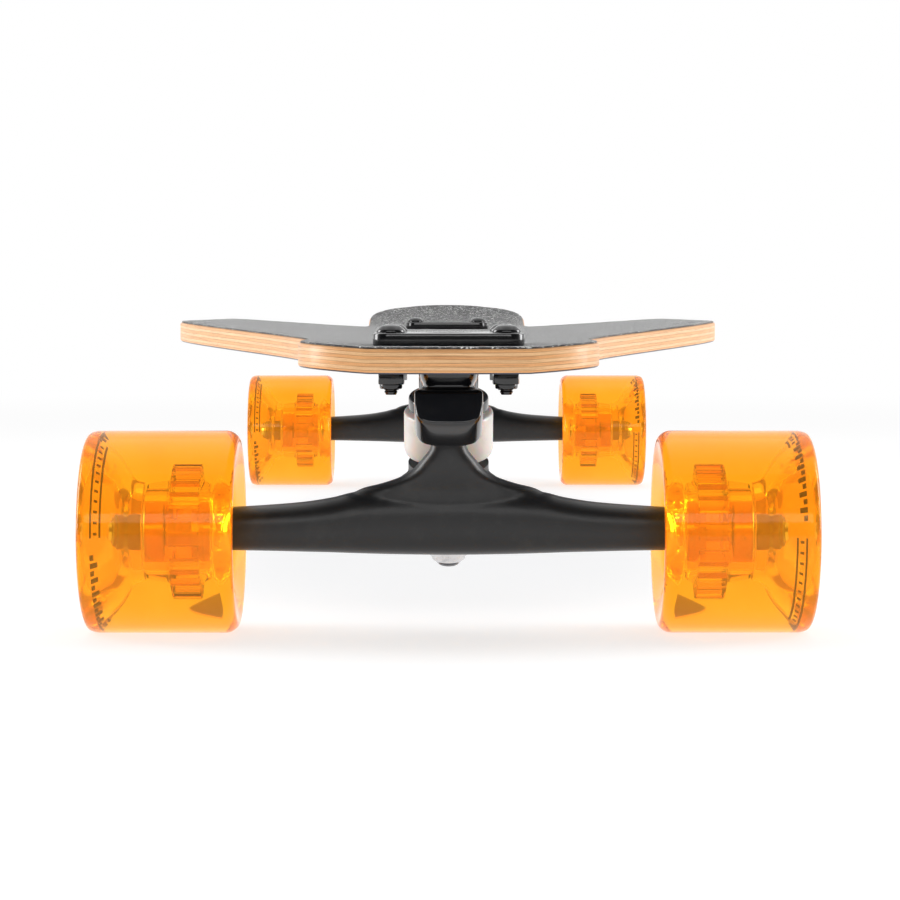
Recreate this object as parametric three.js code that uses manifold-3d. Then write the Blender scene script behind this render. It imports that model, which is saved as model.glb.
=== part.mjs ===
// A drop-through longboard: a kicked maple deck with grip tape, two trucks bolted through it, and four
// urethane wheels on ball bearings. Millimetres, +Z up, nose towards -Y, left side of the board +X.
import * as THREE from 'three';
import { mergeVertices } from 'three/addons/utils/BufferGeometryUtils.js';
import Module from 'manifold-3d';

const wasm = await Module();
wasm.setup();

// ---------------------------------------------------------------- driving dimensions
const wheelBase = 810;            // axle to axle
const noseOverhang = 56.5;        // front axle to nose tip
const tailOverhang = 115;         // rear axle to tail tip

const deckHalfWidth = 124;        // platform between the wheels
const neckHalfWidth = 54;         // nose, tail and the necks beside the wheels
const shoulderStart = 35;         // inboard of each axle, where the outline begins to widen
const shoulderEnd = 268;          // inboard of each axle, where the platform is at full width
const tipRound = 42;              // length of the rounded nose and tail corners
const tipPower = 2.3;             // superellipse power of those corners
const tipFlat = 16;               // half width of the blunt end
const woodThickness = 8.7;
const gripThickness = 0.6;
const glueThickness = 0.1;        // adhesive film under the grip tape
const gripInset = 0.8;            // grip is trimmed back from the deck's edge
const flatHalfWidth = 28;         // flat strip down the middle of the concave
const concaveRise = 7.8;
const concavePower = 1.1;
const kickStart = 40;             // outboard of the rear axle, where the tail starts to rise
const kickRise = 16.5;
const kickPower = 1.6;

const wheelRadius = 37;
const wheelWidth = 55.5;
const wheelOverlap = 8.5;         // how far the wheel reaches over the end of the hanger
const coreHubRadius = 13.6;
const coreRimRadius = 19;
const coreHubEnds = [1.3, 20];    // where the core swells from its hub, from the hanger's end face
const coreRimEnds = [5, 15.3];    // the rim that keys into the urethane
const bearingRadius = 11;
const bearingWidth = 7;
const spacerLength = 10;
const speedWasher = 0.9;

const axleRadius = 4;
const hangerHalfWidth = 85;
const axleNutHeight = 6.3;
const axleNutFlats = 12.7;
const axleStickOut = 1.6;         // thread past the nut

const rideHeight = 95.9;          // underside of the deck above the ground
const boltAcross = 41.28;         // truck bolt pattern
const boltAlong = 53.98;
const outerBolt = 21;             // outboard bolts to the axle
const boltRadius = 2.4;
const boltHeadRadius = 5.2;
const boltHeadHeight = 2.9;
const deckNutFlats = 9;
const deckNutHeight = 6;
const boltStickOut = 2;

const flangeHalfWidth = 27;
const flangeThickness = 4.4;
const flangeOutboard = 33;        // flange end outboard of the axle
const flangeInboard = 45;         // flange end inboard of the axle
const flangeCorner = 7;
const slotHalfWidth = 14.5;       // cut-out in the deck
const slotMargin = 4;             // flange reaches this far past the cut-out at each end
const slotCorner = 6;

const kingpinRadius = 4.76;
const kingpinTilt = THREE.MathUtils.degToRad(16.1);   // top leans outboard
const kingpinFoot = { y: 29.5, z: 22.7 };             // threaded end
const kingpinNutFlats = 14.3;
const kingpinNutHeight = 10;
const kingpinStickOut = 2;
const kingpinHeadHeight = 6;
const bossLength = 15.7;          // baseplate metal between the upper washer and the kingpin head
const bossRadius = 11;
const stackClearance = 17.2;      // round the upper washer and the boardside bushing
const washerRadius = 14.8;
const washerThickness = 2;
const washerSkirt = 3;
const washerWall = 1.6;
const roadsideHeight = 15.5;
const boardsideHeight = 20.8;
const ringThickness = 10.5;
const ringRadius = 15;
const ringBore = 7.75;
const seatHeight = 3;             // raised seat on the hanger ring
const seatRadius = 11.5;
const bushingPocket = 18.5;       // clearance round the roadside bushing and its washer

const pivotReach = 44.3;          // hanger ring centre to pivot tip centre, along the steering axis
const pivotAngle = THREE.MathUtils.degToRad(34.2);    // steering axis above the horizontal
const pivotRadius = 6.1;
const pivotWall = 2.1;            // pivot cup
const housingWall = 3.7;          // round the cup, which its rounded square outline thickens at the corners
const housingRim = 4.3;           // housing's open end, before the pivot tip centre
const housingDepth = 11.5;        // housing's closed end, past the pivot tip centre
const housingTop = 89.7;          // housing is cut level here, and only the web goes on up

const seatGap = 0.1;              // between pieces that are clamped or glued together
const fitGap = 0.3;               // between pieces that slip together or turn
const clearanceHole = 0.35;       // added to a bolt's radius for its hole

const wheelSides = 24;
const roundSides = 16;            // bosses, rings and their pockets
const smallSides = 12;            // small turned pieces, axles and kingpins
const boltSides = 8;              // deck bolts and their holes

// ---------------------------------------------------------------- sizes that follow from them
const boardLength = noseOverhang + wheelBase + tailOverhang;
const noseY = -boardLength / 2;
const tailY = boardLength / 2;
const frontAxleY = noseY + noseOverhang;
const rearAxleY = frontAxleY + wheelBase;
const woodTop = rideHeight + woodThickness;
const gripTop = woodTop + glueThickness + gripThickness;
const flangeBottom = gripTop + seatGap;
const flangeTop = flangeBottom + flangeThickness;
const innerBolt = boltAlong - outerBolt;
const bearingStart = speedWasher;                        // measured from the hanger's end face
const outerBearingStart = bearingStart + bearingWidth + spacerLength;
const bearingEnd = outerBearingStart + bearingWidth;
const axleNutStart = bearingEnd + speedWasher;
const axleHalfLength = hangerHalfWidth + axleNutStart + axleNutHeight + axleStickOut;

// Stations along the kingpin, from its threaded end.
const nutStation = kingpinStickOut;
const lowerWasherStation = nutStation + kingpinNutHeight + seatGap;
const roadsideStation = lowerWasherStation + washerThickness + seatGap;
const ringStation = roadsideStation + roadsideHeight + fitGap;
const boardsideStation = ringStation + ringThickness + seatHeight + fitGap;
const upperWasherStation = boardsideStation + boardsideHeight + seatGap;
const bossStation = upperWasherStation + washerThickness + seatGap;
const headStation = bossStation + bossLength;
const ringCentreStation = ringStation + ringThickness / 2;

// ---------------------------------------------------------------- materials
const finish = (color, roughness, metalness, name) =>
  new THREE.MeshStandardMaterial({ color, roughness, metalness, name });
const maple = finish(0xe0a868, 0.5, 0, 'maple');
const gripBlack = finish(0x6f6f72, 0.95, 0, 'grip');
const satinBlack = finish(0x2a2a2d, 0.45, 0.3, 'satin_black');
const glossBlack = finish(0x0d0d10, 0.2, 0.2, 'gloss_black');
const steel = finish(0xb8babd, 0.3, 1, 'steel');
const darkSteel = finish(0x35363a, 0.35, 0.9, 'dark_steel');
const urethane = finish(0xee6a1c, 0.25, 0, 'urethane');
const coreOrange = finish(0xf28b3c, 0.35, 0, 'core');
const bushingPale = finish(0xd9d6cf, 0.5, 0, 'bushing');
const cupBlack = finish(0x18181a, 0.6, 0, 'pivot_cup');

// ---------------------------------------------------------------- geometry helpers
const point = (x, y, z) => new THREE.Vector3(x, y, z);

// Shared corners merged, collapsed triangles dropped, faces turned outwards.
function closed(geometry) {
  geometry.deleteAttribute('normal');
  geometry.deleteAttribute('uv');
  const merged = mergeVertices(geometry, 1e-4);
  const corners = merged.index.array;
  const place = merged.attributes.position;
  const [a, b, c] = [point(), point(), point()];
  const kept = [];
  let volume = 0;
  for (let i = 0; i < corners.length; i += 3) {
    const [p, q, r] = [corners[i], corners[i + 1], corners[i + 2]];
    if (p === q || q === r || r === p) continue;
    kept.push(p, q, r);
    a.fromBufferAttribute(place, p);
    b.fromBufferAttribute(place, q);
    c.fromBufferAttribute(place, r);
    volume += a.dot(b.cross(c));
  }
  merged.setIndex(volume < 0 ? kept.reverse() : kept);
  return merged;
}

function solid(geometry) {
  const body = closed(geometry);
  return new wasm.Manifold(new wasm.Mesh({
    numProp: 3,
    vertProperties: new Float32Array(body.attributes.position.array),
    triVerts: new Uint32Array(body.index.array),
  }));
}

function surface(body) {
  const mesh = body.getMesh();
  const geometry = new THREE.BufferGeometry();
  geometry.setAttribute('position', new THREE.BufferAttribute(mesh.vertProperties, 3));
  geometry.setIndex(new THREE.BufferAttribute(mesh.triVerts, 1));
  return geometry;
}

// A turned piece about +Z from a profile of [height, radius] pairs.
function turned(profile, sides = smallSides) {
  const outline = profile.map(([height, radius]) => new THREE.Vector2(radius, height));
  return closed(new THREE.LatheGeometry(outline, sides).rotateX(Math.PI / 2));
}

// Profile points of a ball end in four steps: angle 0 is its widest place, a quarter turn is its pole.
const arc = (centre, radius, from, to) => [0, 1, 2, 3, 4].map((i) => {
  const angle = from + ((to - from) * i) / 4;
  const onAxis = Math.abs(Math.abs(angle) - Math.PI / 2) < 1e-9;
  return [centre + radius * Math.sin(angle), onAxis ? 0 : radius * Math.cos(angle)];
});

const rod = (radius, start, end, sides = smallSides) =>
  turned([[start, 0], [start, radius], [end, radius], [end, 0]], sides);

// A tube is a closed profile that never meets the axis.
const tube = (inner, outer, start, end, sides = smallSides) =>
  turned([[start, inner], [start, outer], [end, outer], [end, inner], [start, inner]], sides);

// A skin over rings of equal count, closed at both ends by a fan. Each quad is cut along its shorter
// diagonal, so that two skins over the same lines have the same facets.
function loft(rings) {
  const count = rings[0].length;
  const places = rings.flat();
  const faces = [];
  for (let i = 0; i + 1 < rings.length; i++) {
    for (let j = 0; j < count; j++) {
      const k = (j + 1) % count;
      const [a, b] = [i * count + j, i * count + k];
      const [c, d] = [a + count, b + count];
      const straight = places[a].distanceTo(places[d]) <= places[b].distanceTo(places[c]);
      faces.push(...(straight ? [a, b, d, a, d, c] : [a, b, c, b, d, c]));
    }
  }
  const fan = (ring, first, flip) => {
    const middle = places.length;
    places.push(ring.reduce((sum, p) => sum.add(p), point(0, 0, 0)).divideScalar(count));
    for (let j = 0; j < count; j++) {
      const [p, q] = [first + j, first + (j + 1) % count];
      faces.push(middle, flip ? q : p, flip ? p : q);
    }
  };
  fan(rings[0], 0, true);
  fan(rings.at(-1), (rings.length - 1) * count, false);
  const geometry = new THREE.BufferGeometry().setFromPoints(places);
  geometry.setIndex(faces);
  return closed(geometry);
}

// A rounded ring of half sizes u and v; place(u, v) puts each of its corners in space.
function ovalRing(halfU, halfV, power, place, sides = roundSides) {
  return Array.from({ length: sides }, (_, i) => {
    const angle = (2 * Math.PI * (i + 0.5)) / sides;
    const [c, s] = [Math.cos(angle), Math.sin(angle)];
    const u = halfU * Math.sign(c) * Math.abs(c) ** (2 / power);
    const v = halfV * Math.sign(s) * Math.abs(s) ** (2 / power);
    return place(u, v);
  });
}

// A plate with rounded corners, standing on z = bottom.
function roundedPlate(halfX, yLow, yHigh, corner, bottom, top) {
  const shape = new THREE.Shape();
  shape.moveTo(halfX, yLow + corner);
  shape.lineTo(halfX, yHigh - corner);
  shape.absarc(halfX - corner, yHigh - corner, corner, 0, Math.PI / 2);
  shape.lineTo(corner - halfX, yHigh);
  shape.absarc(corner - halfX, yHigh - corner, corner, Math.PI / 2, Math.PI);
  shape.lineTo(-halfX, yLow + corner);
  shape.absarc(corner - halfX, yLow + corner, corner, Math.PI, 1.5 * Math.PI);
  shape.lineTo(halfX - corner, yLow);
  shape.absarc(halfX - corner, yLow + corner, corner, 1.5 * Math.PI, 2 * Math.PI);
  const settings = { depth: top - bottom, bevelEnabled: false, curveSegments: 3 };
  return new THREE.ExtrudeGeometry(shape, settings).translate(0, 0, bottom);
}

// A hexagon across flats with a round bore, standing on z = 0.
function hexNut(flats, bore, height, boreSides = smallSides) {
  const shape = new THREE.Shape();
  for (let i = 0; i < 6; i++) {
    const angle = (Math.PI * (i + 0.5)) / 3;
    const radius = flats / Math.sqrt(3);
    const corner = [radius * Math.cos(angle), radius * Math.sin(angle)];
    if (i === 0) shape.moveTo(...corner);
    else shape.lineTo(...corner);
  }
  const hole = new THREE.Path();
  hole.absarc(0, 0, bore, 0, 2 * Math.PI);
  shape.holes.push(hole);
  const settings = { depth: height, bevelEnabled: false, curveSegments: boreSides / 2 };
  return closed(new THREE.ExtrudeGeometry(shape, settings));
}

function piece(name, geometry, material) {
  const mesh = new THREE.Mesh(geometry, material);
  mesh.name = name;
  return mesh;
}

// ---------------------------------------------------------------- deck and grip tape
// How far the board has risen at a place, from the concave across it and the kick of its tail.
function boardRise(x, y) {
  const side = Math.max(0, Math.abs(x) - flatHalfWidth) / (deckHalfWidth - flatHalfWidth);
  const start = rearAxleY + kickStart;
  const kick = Math.max(0, y - start) / (tailY - start);
  return concaveRise * side ** concavePower + kickRise * kick ** kickPower;
}

const easeInOut = (t) => t * t * (3 - 2 * t);

// Stations [y, half width] from nose to tail.
function outline() {
  const tipSteps = 5;
  const shoulderSteps = 7;
  const tip = Array.from({ length: tipSteps + 1 }, (_, i) => {
    const angle = (Math.PI / 2) * (i / tipSteps);
    const width = neckHalfWidth * Math.sin(angle) ** (2 / tipPower);
    return [tipRound * (1 - Math.cos(angle) ** (2 / tipPower)), Math.max(tipFlat, width)];
  });
  const shoulder = Array.from({ length: shoulderSteps + 1 }, (_, i) => {
    const t = i / shoulderSteps;
    const inboard = shoulderStart + t * (shoulderEnd - shoulderStart);
    return [inboard, neckHalfWidth + easeInOut(t) * (deckHalfWidth - neckHalfWidth)];
  });
  const tailSteps = 3;
  const kickY = rearAxleY + kickStart;
  const kicked = Array.from({ length: tailSteps }, (_, i) =>
    [kickY + (i / tailSteps) * (tailY - tipRound - kickY), neckHalfWidth]);
  return [
    ...tip.map(([inset, width]) => [noseY + inset, width]),
    ...shoulder.map(([inboard, width]) => [frontAxleY + inboard, width]),
    ...shoulder.map(([inboard, width]) => [rearAxleY - inboard, width]).reverse(),
    ...kicked,
    ...tip.map(([inset, width]) => [tailY - inset, width]).reverse(),
  ];
}

// One cross-section of a sheet that follows the board, between two heights of the flat strip. Its
// corners lie on the same lines as the whole board's, and only the outermost is trimmed back.
function section(y, halfWidth, inset, bottom, top) {
  const flat = Math.min(flatHalfWidth, 0.75 * halfWidth);
  const sideSteps = 3;
  const across = [];
  for (let i = 0; i <= sideSteps; i++) across.push(flat + (halfWidth - flat) * (i / sideSteps));
  across[sideSteps] -= inset;
  const line = [...across.map((x) => -x).reverse(), ...across];
  const at = (x, height) => point(x, y, height + boardRise(x, y));
  return [...line.map((x) => at(x, top)), ...line.reverse().map((x) => at(x, bottom))];
}

// Holes through the board for both trucks: a slot for each baseplate and four bolts round it.
function truckCuts(low, high) {
  const cuts = [];
  for (const [axleY, inboard] of [[frontAxleY, 1], [rearAxleY, -1]]) {
    const ends = [axleY - inboard * (flangeOutboard - slotMargin),
      axleY + inboard * (flangeInboard - slotMargin)];
    const [lowY, highY] = [Math.min(...ends), Math.max(...ends)];
    cuts.push(roundedPlate(slotHalfWidth, lowY, highY, slotCorner, low, high));
    for (const x of [-boltAcross / 2, boltAcross / 2]) {
      for (const y of [axleY - inboard * outerBolt, axleY + inboard * innerBolt]) {
        cuts.push(rod(boltRadius + clearanceHole, low, high, boltSides).translate(x, y, 0));
      }
    }
  }
  return cuts;
}

function boardSheet(inset, bottom, top) {
  const rings = outline().map(([y, width], i, all) => {
    const end = i === 0 ? inset : i === all.length - 1 ? -inset : 0;
    return section(y + end, width, inset, bottom, top);
  });
  const margin = 2;
  return truckCuts(bottom - margin, top + margin)
    .reduce((sheet, cut) => sheet.subtract(solid(cut)), solid(loft(rings)));
}

const deck = () => piece('deck', surface(boardSheet(0, rideHeight, woodTop)), maple);

function gripTape() {
  const bottom = woodTop + glueThickness;
  return piece('grip_tape', surface(boardSheet(gripInset, bottom, gripTop)), gripBlack);
}

// ---------------------------------------------------------------- places on a truck
// A truck's own frame has its axle over y = 0, outboard -Y. Local +Z of the kingpin group runs up the
// kingpin from its threaded end; local +Z of the steering group runs from the ring to the pivot tip.
function kingpinGroup() {
  const group = new THREE.Group();
  group.position.set(0, kingpinFoot.y, kingpinFoot.z);
  group.rotation.x = kingpinTilt;
  return group;
}

function steeringGroup() {
  const group = new THREE.Group();
  group.position.set(0, kingpinFoot.y - ringCentreStation * Math.sin(kingpinTilt),
    kingpinFoot.z + ringCentreStation * Math.cos(kingpinTilt));
  group.rotation.x = Math.PI / 2 - pivotAngle;
  return group;
}

function placedIn(group, geometry) {
  group.updateMatrix();
  return geometry.applyMatrix4(group.matrix);
}

const alongKingpin = (geometry) => solid(placedIn(kingpinGroup(), geometry));
const alongSteering = (geometry) => solid(placedIn(steeringGroup(), geometry));

// ---------------------------------------------------------------- baseplate
function housing() {
  const half = pivotRadius + pivotWall + housingWall + fitGap;
  const [rim, back] = [pivotReach - housingRim, pivotReach + housingDepth];
  const [chamfer, squareness] = [0.8, 4];
  // [station, half size] from the open rim to the closed end
  const stations = [[rim, half - chamfer], [rim + chamfer, half], [back - 2 * chamfer, half],
    [back, half - 2 * chamfer]];
  return alongSteering(loft(stations.map(([station, size]) =>
    ovalRing(size, size, squareness, (u, v) => point(u, v, station)))))
    .trimByPlane([0, 0, -1], -housingTop);
}

function baseplateWeb() {
  // [z, half width, outboard end, inboard end]
  const levels = [
    [flangeBottom + 1, 11, -28, 37],
    [rideHeight, 11, -26, 33],
    [93, 10.3, -24.5, 28],
    [90, 9.2, -23, 22],
    [84, 9.2, -21, 8],
  ];
  return solid(loft(levels.map(([z, halfX, yLow, yHigh]) =>
    ovalRing(halfX, (yHigh - yLow) / 2, 5, (u, v) => point(u, (yLow + yHigh) / 2 + v, z)))));
}

function baseplate(name) {
  const pocketPast = 8;             // the head's pocket goes on past the kingpin's end
  let body = solid(roundedPlate(flangeHalfWidth, -flangeOutboard, flangeInboard, flangeCorner,
    flangeBottom, flangeTop));
  const stackRoom = rod(stackClearance, bossStation - 14, bossStation, roundSides);
  body = body.add(baseplateWeb()).add(housing()).subtract(alongKingpin(stackRoom));
  body = body.add(alongKingpin(rod(bossRadius, bossStation, headStation + 1, roundSides)));
  body = body.subtract(alongKingpin(rod(kingpinRadius + fitGap, bossStation - 1, headStation + 1)));
  body = body.subtract(alongKingpin(rod(kingpinNutFlats / Math.sqrt(3) + fitGap, headStation,
    headStation + kingpinHeadHeight + pocketPast)));
  const cupRadius = pivotRadius + pivotWall + fitGap;
  body = body.subtract(alongSteering(rod(cupRadius, pivotReach - housingRim - 1,
    pivotReach + pivotRadius + pivotWall + fitGap, smallSides)));
  for (const x of [-boltAcross / 2, boltAcross / 2]) {
    for (const y of [-outerBolt, innerBolt]) {
      body = body.subtract(solid(rod(boltRadius + clearanceHole, flangeBottom - 1, flangeTop + 1, boltSides)
        .translate(x, y, 0)));
    }
  }
  return piece(name, surface(body), glossBlack);
}

// ---------------------------------------------------------------- hanger
const axleZ = wheelRadius;

// The beam round the axle, as ovals from end to end: [|x|, bottom, top, half depth].
function hangerBeam() {
  const stations = [
    [hangerHalfWidth, axleZ - 6.8, axleZ + 8.9, 8],
    [0.86 * hangerHalfWidth, axleZ - 6.9, axleZ + 9.4, 8.2],
    [0.64 * hangerHalfWidth, axleZ - 7.3, axleZ + 10.8, 8.6],
    [0.5 * hangerHalfWidth, axleZ - 7.6, axleZ + 12.6, 9],
    [0.4 * hangerHalfWidth, axleZ - 7.9, axleZ + 14.6, 9.5],
    [0, axleZ - 8.5, axleZ + 16.5, 10.5],
  ];
  const left = stations.slice(0, -1).map(([x, ...rest]) => [-x, ...rest]);
  const all = [...left, ...stations.reverse()];
  return solid(loft(all.map(([x, low, high, depth]) =>
    ovalRing(depth, (high - low) / 2, 2.5, (u, v) => point(x, u, (low + high) / 2 + v)))));
}

// The flared neck from the beam up to the pivot: [height over the axle, half width, y, half depth].
function hangerNeck() {
  const levels = [
    [10, 40, -0.5, 9],
    [15.4, 33, -1, 9],
    [17.6, 25.4, -2, 9.2],
    [19, 21, -3, 9.4],
    [20.8, 16.7, -4.2, 9.2],
    [23.9, 12.3, -6, 8.6],
    [27, 9.8, -7.6, 7.6],
    [31.3, 6.6, -9.2, 6.2],
    [36, 6.2, -9.8, 5.2],
    [38, 5, -9.6, 4],
  ];
  return solid(loft(levels.map(([rise, halfX, y, depth]) =>
    ovalRing(halfX, depth, 2.3, (u, v) => point(u, y + v, axleZ + rise)))));
}

// The saddle that carries the ring behind the beam: [y, half width, bottom, top] over the axle.
function hangerSaddle() {
  const stops = [[-2, 30, 2, 16], [8, 24, 5, 20], [18, 16.5, 9, 24], [27, 11, 11, 22]];
  return solid(loft(stops.map(([y, halfX, low, high]) =>
    ovalRing(halfX, (high - low) / 2, 2.6, (u, v) => point(u, y, axleZ + (low + high) / 2 + v)))));
}

function pivotTip() {
  const shankLength = 8.5;
  return alongSteering(turned([
    ...arc(pivotReach - shankLength, pivotRadius, -Math.PI / 2, 0),
    ...arc(pivotReach, pivotRadius, 0, Math.PI / 2),
  ]));
}

function hanger(name) {
  let body = hangerBeam().add(hangerNeck()).add(hangerSaddle()).add(pivotTip());
  const ring = rod(ringRadius, ringStation - 1, ringStation + ringThickness + 1, roundSides);
  body = body.add(alongKingpin(ring));
  const overhead = 30;
  const below = -12;
  body = body.subtract(alongKingpin(rod(bushingPocket, below, ringStation, roundSides)));
  body = body.subtract(alongKingpin(rod(bushingPocket - 0.5, ringStation + ringThickness,
    ringStation + ringThickness + overhead, roundSides)));
  body = body.add(alongKingpin(rod(seatRadius, ringStation + 1, boardsideStation - fitGap, roundSides)));
  body = body.subtract(alongKingpin(rod(ringBore, below, boardsideStation + 1)));
  const bore = rod(axleRadius + seatGap, -hangerHalfWidth - 1, hangerHalfWidth + 1)
    .rotateY(Math.PI / 2).translate(0, 0, axleZ);
  return piece(name, surface(body.subtract(solid(bore))), satinBlack);
}

// ---------------------------------------------------------------- kingpin stack and pivot cup
function kingpin(name) {
  const headRadius = kingpinNutFlats / Math.sqrt(3);
  const shank = rod(kingpinRadius, 0, headStation + 1);
  const head = rod(headRadius, headStation + seatGap, headStation + kingpinHeadHeight, 6);
  return piece(name, surface(solid(shank).add(solid(head))), darkSteel);
}

function kingpinNut(name) {
  const nut = hexNut(kingpinNutFlats, kingpinRadius + seatGap, kingpinNutHeight).translate(0, 0, nutStation);
  return piece(name, nut, steel);
}

// A dished washer at its bushing's end: a flat ring, and a skirt that reaches skirtWay over the bushing.
function cupWasher(name, station, skirtWay, material) {
  const inner = kingpinRadius + fitGap;
  const flat = skirtWay > 0 ? station : station + washerThickness;
  const dish = flat + skirtWay * washerThickness;
  const lip = dish + skirtWay * washerSkirt;
  return piece(name, turned([[flat, inner], [flat, washerRadius - 1], [flat + skirtWay, washerRadius],
    [lip, washerRadius], [lip, washerRadius - washerWall], [dish, washerRadius - washerWall],
    [dish, inner], [flat, inner]]), material);
}

// A bushing from its cupped end, which a washer's skirt holds, to its chamfered free end.
function bushing(name, cuppedEnd, way, height, freeRadius, widest) {
  const inner = kingpinRadius + fitGap;
  const cuppedRadius = washerRadius - washerWall - fitGap;
  const chamfer = 2;
  const at = (depth) => cuppedEnd + way * depth;
  return piece(name, turned([[at(0), inner], [at(0), cuppedRadius], [at(washerSkirt), cuppedRadius],
    [at(washerSkirt + 0.8), widest], [at(height - chamfer), widest], [at(height), freeRadius],
    [at(height), inner], [at(0), inner]]), bushingPale);
}

function pivotCup(name) {
  const [inner, outer] = [pivotRadius + fitGap, pivotRadius + pivotWall];
  const rim = pivotReach - housingRim;
  const back = pivotReach + outer;
  const well = arc(pivotReach, inner / Math.cos(Math.PI / 16), Math.PI / 2, 0);
  const cup = turned([[rim, inner], [rim, outer], [back, outer], [back, 0], ...well, [rim, inner]]);
  return piece(name, cup, cupBlack);
}

// ---------------------------------------------------------------- fasteners through the deck
function deckBolt(name) {
  const end = rideHeight - seatGap - deckNutHeight - boltStickOut;
  const head = flangeTop + seatGap;
  return piece(name, turned([[end, 0], [end, boltRadius], [head, boltRadius], [head, boltHeadRadius],
    [head + 0.3 * boltHeadHeight, boltHeadRadius], [head + 0.85 * boltHeadHeight, 0.6 * boltHeadRadius],
    [head + boltHeadHeight, 0.3 * boltHeadRadius], [head + boltHeadHeight, 0]], boltSides), glossBlack);
}

function deckNut(name) {
  const bore = boltRadius + seatGap;
  const hexHeight = 0.7 * deckNutHeight;
  const hex = solid(hexNut(deckNutFlats, bore, hexHeight, boltSides)
    .translate(0, 0, deckNutHeight - hexHeight));
  const collar = solid(tube(bore, 0.46 * deckNutFlats, 0, deckNutHeight - hexHeight, boltSides));
  const nut = surface(hex.add(collar)).translate(0, 0, rideHeight - seatGap - deckNutHeight);
  return piece(name, nut, glossBlack);
}

// ---------------------------------------------------------------- wheels
// A wheel's own frame has +Z outboard along the axle, from the end face of the hanger.
function tyre(name) {
  const [inner, outer] = [-wheelOverlap, wheelWidth - wheelOverlap];
  const seat = coreHubRadius + fitGap;
  const rim = coreRimRadius + 0.5;
  return piece(name, turned([
    [inner, wheelRadius - 2.5], [inner + 2.5, wheelRadius], [outer - 4, wheelRadius],
    [outer - 1.2, wheelRadius - 1], [outer, wheelRadius - 3.5], [outer - 2, wheelRadius - 7],
    [outer - 14, coreRimRadius + 1], [outer - 16.5, seat + 0.4], [bearingEnd - 0.1, seat],
    [coreHubEnds[1] + 0.2, seat], [coreRimEnds[1] + 0.2, rim], [coreRimEnds[0] - 0.2, rim],
    [coreHubEnds[0], seat], [0, seat],
    [-5, coreRimRadius], [inner, wheelRadius - 4], [inner, wheelRadius - 2.5],
  ], wheelSides), urethane);
}

function core(name) {
  const seat = bearingRadius + fitGap;
  const land = bearingRadius - 1.5;
  const [first, last] = [bearingStart + 0.4, bearingEnd - 0.3];
  const stop = [bearingStart + bearingWidth + seatGap, outerBearingStart - seatGap];
  return piece(name, turned([
    [first, seat], [first, coreHubRadius], [coreRimEnds[0], coreRimRadius],
    [coreRimEnds[1], coreRimRadius], [coreHubEnds[1], coreHubRadius],
    [last, coreHubRadius], [last, seat], [stop[1], seat], [stop[1], land], [stop[0], land],
    [stop[0], seat], [first, seat],
  ]), coreOrange);
}

const bearing = (name, start) =>
  piece(name, tube(axleRadius + 0.35, bearingRadius, start, start + bearingWidth), steel);

function axleNut(name) {
  const nut = hexNut(axleNutFlats, axleRadius + seatGap, axleNutHeight).translate(0, 0, axleNutStart);
  return piece(name, nut, darkSteel);
}

function wheel(end, side) {
  const group = new THREE.Group();
  const spot = `${end}_${side}`;
  group.add(
    tyre(`tyre_${spot}`),
    core(`wheel_core_${spot}`),
    bearing(`inner_bearing_${spot}`, bearingStart),
    bearing(`outer_bearing_${spot}`, outerBearingStart),
    axleNut(`axle_nut_${spot}`),
  );
  return group;
}

// ---------------------------------------------------------------- trucks
function truck(end, axleY, turn) {
  const group = new THREE.Group();
  group.position.y = axleY;
  group.rotation.z = turn;
  group.add(baseplate(`baseplate_${end}`), hanger(`hanger_${end}`));

  const axle = piece(`axle_${end}`, rod(axleRadius, -axleHalfLength, axleHalfLength), steel);
  axle.rotation.y = Math.PI / 2;
  axle.position.z = axleZ;
  group.add(axle);

  const stack = kingpinGroup();
  stack.add(
    kingpin(`kingpin_${end}`),
    kingpinNut(`kingpin_nut_${end}`),
    cupWasher(`lower_cup_washer_${end}`, lowerWasherStation, 1, darkSteel),
    bushing(`roadside_bushing_${end}`, roadsideStation, 1, roadsideHeight, 11.5, 13.5),
    bushing(`boardside_bushing_${end}`, boardsideStation + boardsideHeight, -1, boardsideHeight, 15.5, 16.5),
    cupWasher(`upper_cup_washer_${end}`, upperWasherStation, -1, glossBlack),
  );
  const steering = steeringGroup();
  steering.add(pivotCup(`pivot_cup_${end}`));
  group.add(stack, steering);

  const sideOfLocalX = turn === 0 ? { 1: 'left', '-1': 'right' } : { 1: 'right', '-1': 'left' };
  for (const way of [1, -1]) {
    const hub = wheel(end, sideOfLocalX[way]);
    hub.position.set(way * hangerHalfWidth, 0, axleZ);
    hub.rotation.y = (way * Math.PI) / 2;
    group.add(hub);
    for (const [row, y] of [['outboard', -outerBolt], ['inboard', innerBolt]]) {
      const bolt = deckBolt(`deck_bolt_${end}_${row}_${sideOfLocalX[way]}`);
      const nut = deckNut(`deck_nut_${end}_${row}_${sideOfLocalX[way]}`);
      for (const fastener of [bolt, nut]) fastener.position.set((way * boltAcross) / 2, y, 0);
      group.add(bolt, nut);
    }
  }
  return group;
}

const board = new THREE.Group();
board.add(deck(), gripTape(), truck('front', frontAxleY, 0), truck('rear', rearAxleY, Math.PI));

export default board;
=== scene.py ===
# %% [markdown]
# # A drop-through longboard
# The board is a kicked maple deck that hangs low between two trucks, whose baseplates sit on top of the
# deck and reach down through it. Its wheels are clear orange urethane, so what is inside them shows.
# This lesson loads the engineering model as a fixed frame, and then makes each visible piece again with
# finer shapes and real finishes, in millimetres in the piece's own frame, before it is put in its place.

# %% Load the frame
import math

import bpy
from mathutils import Matrix, Vector


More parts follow.
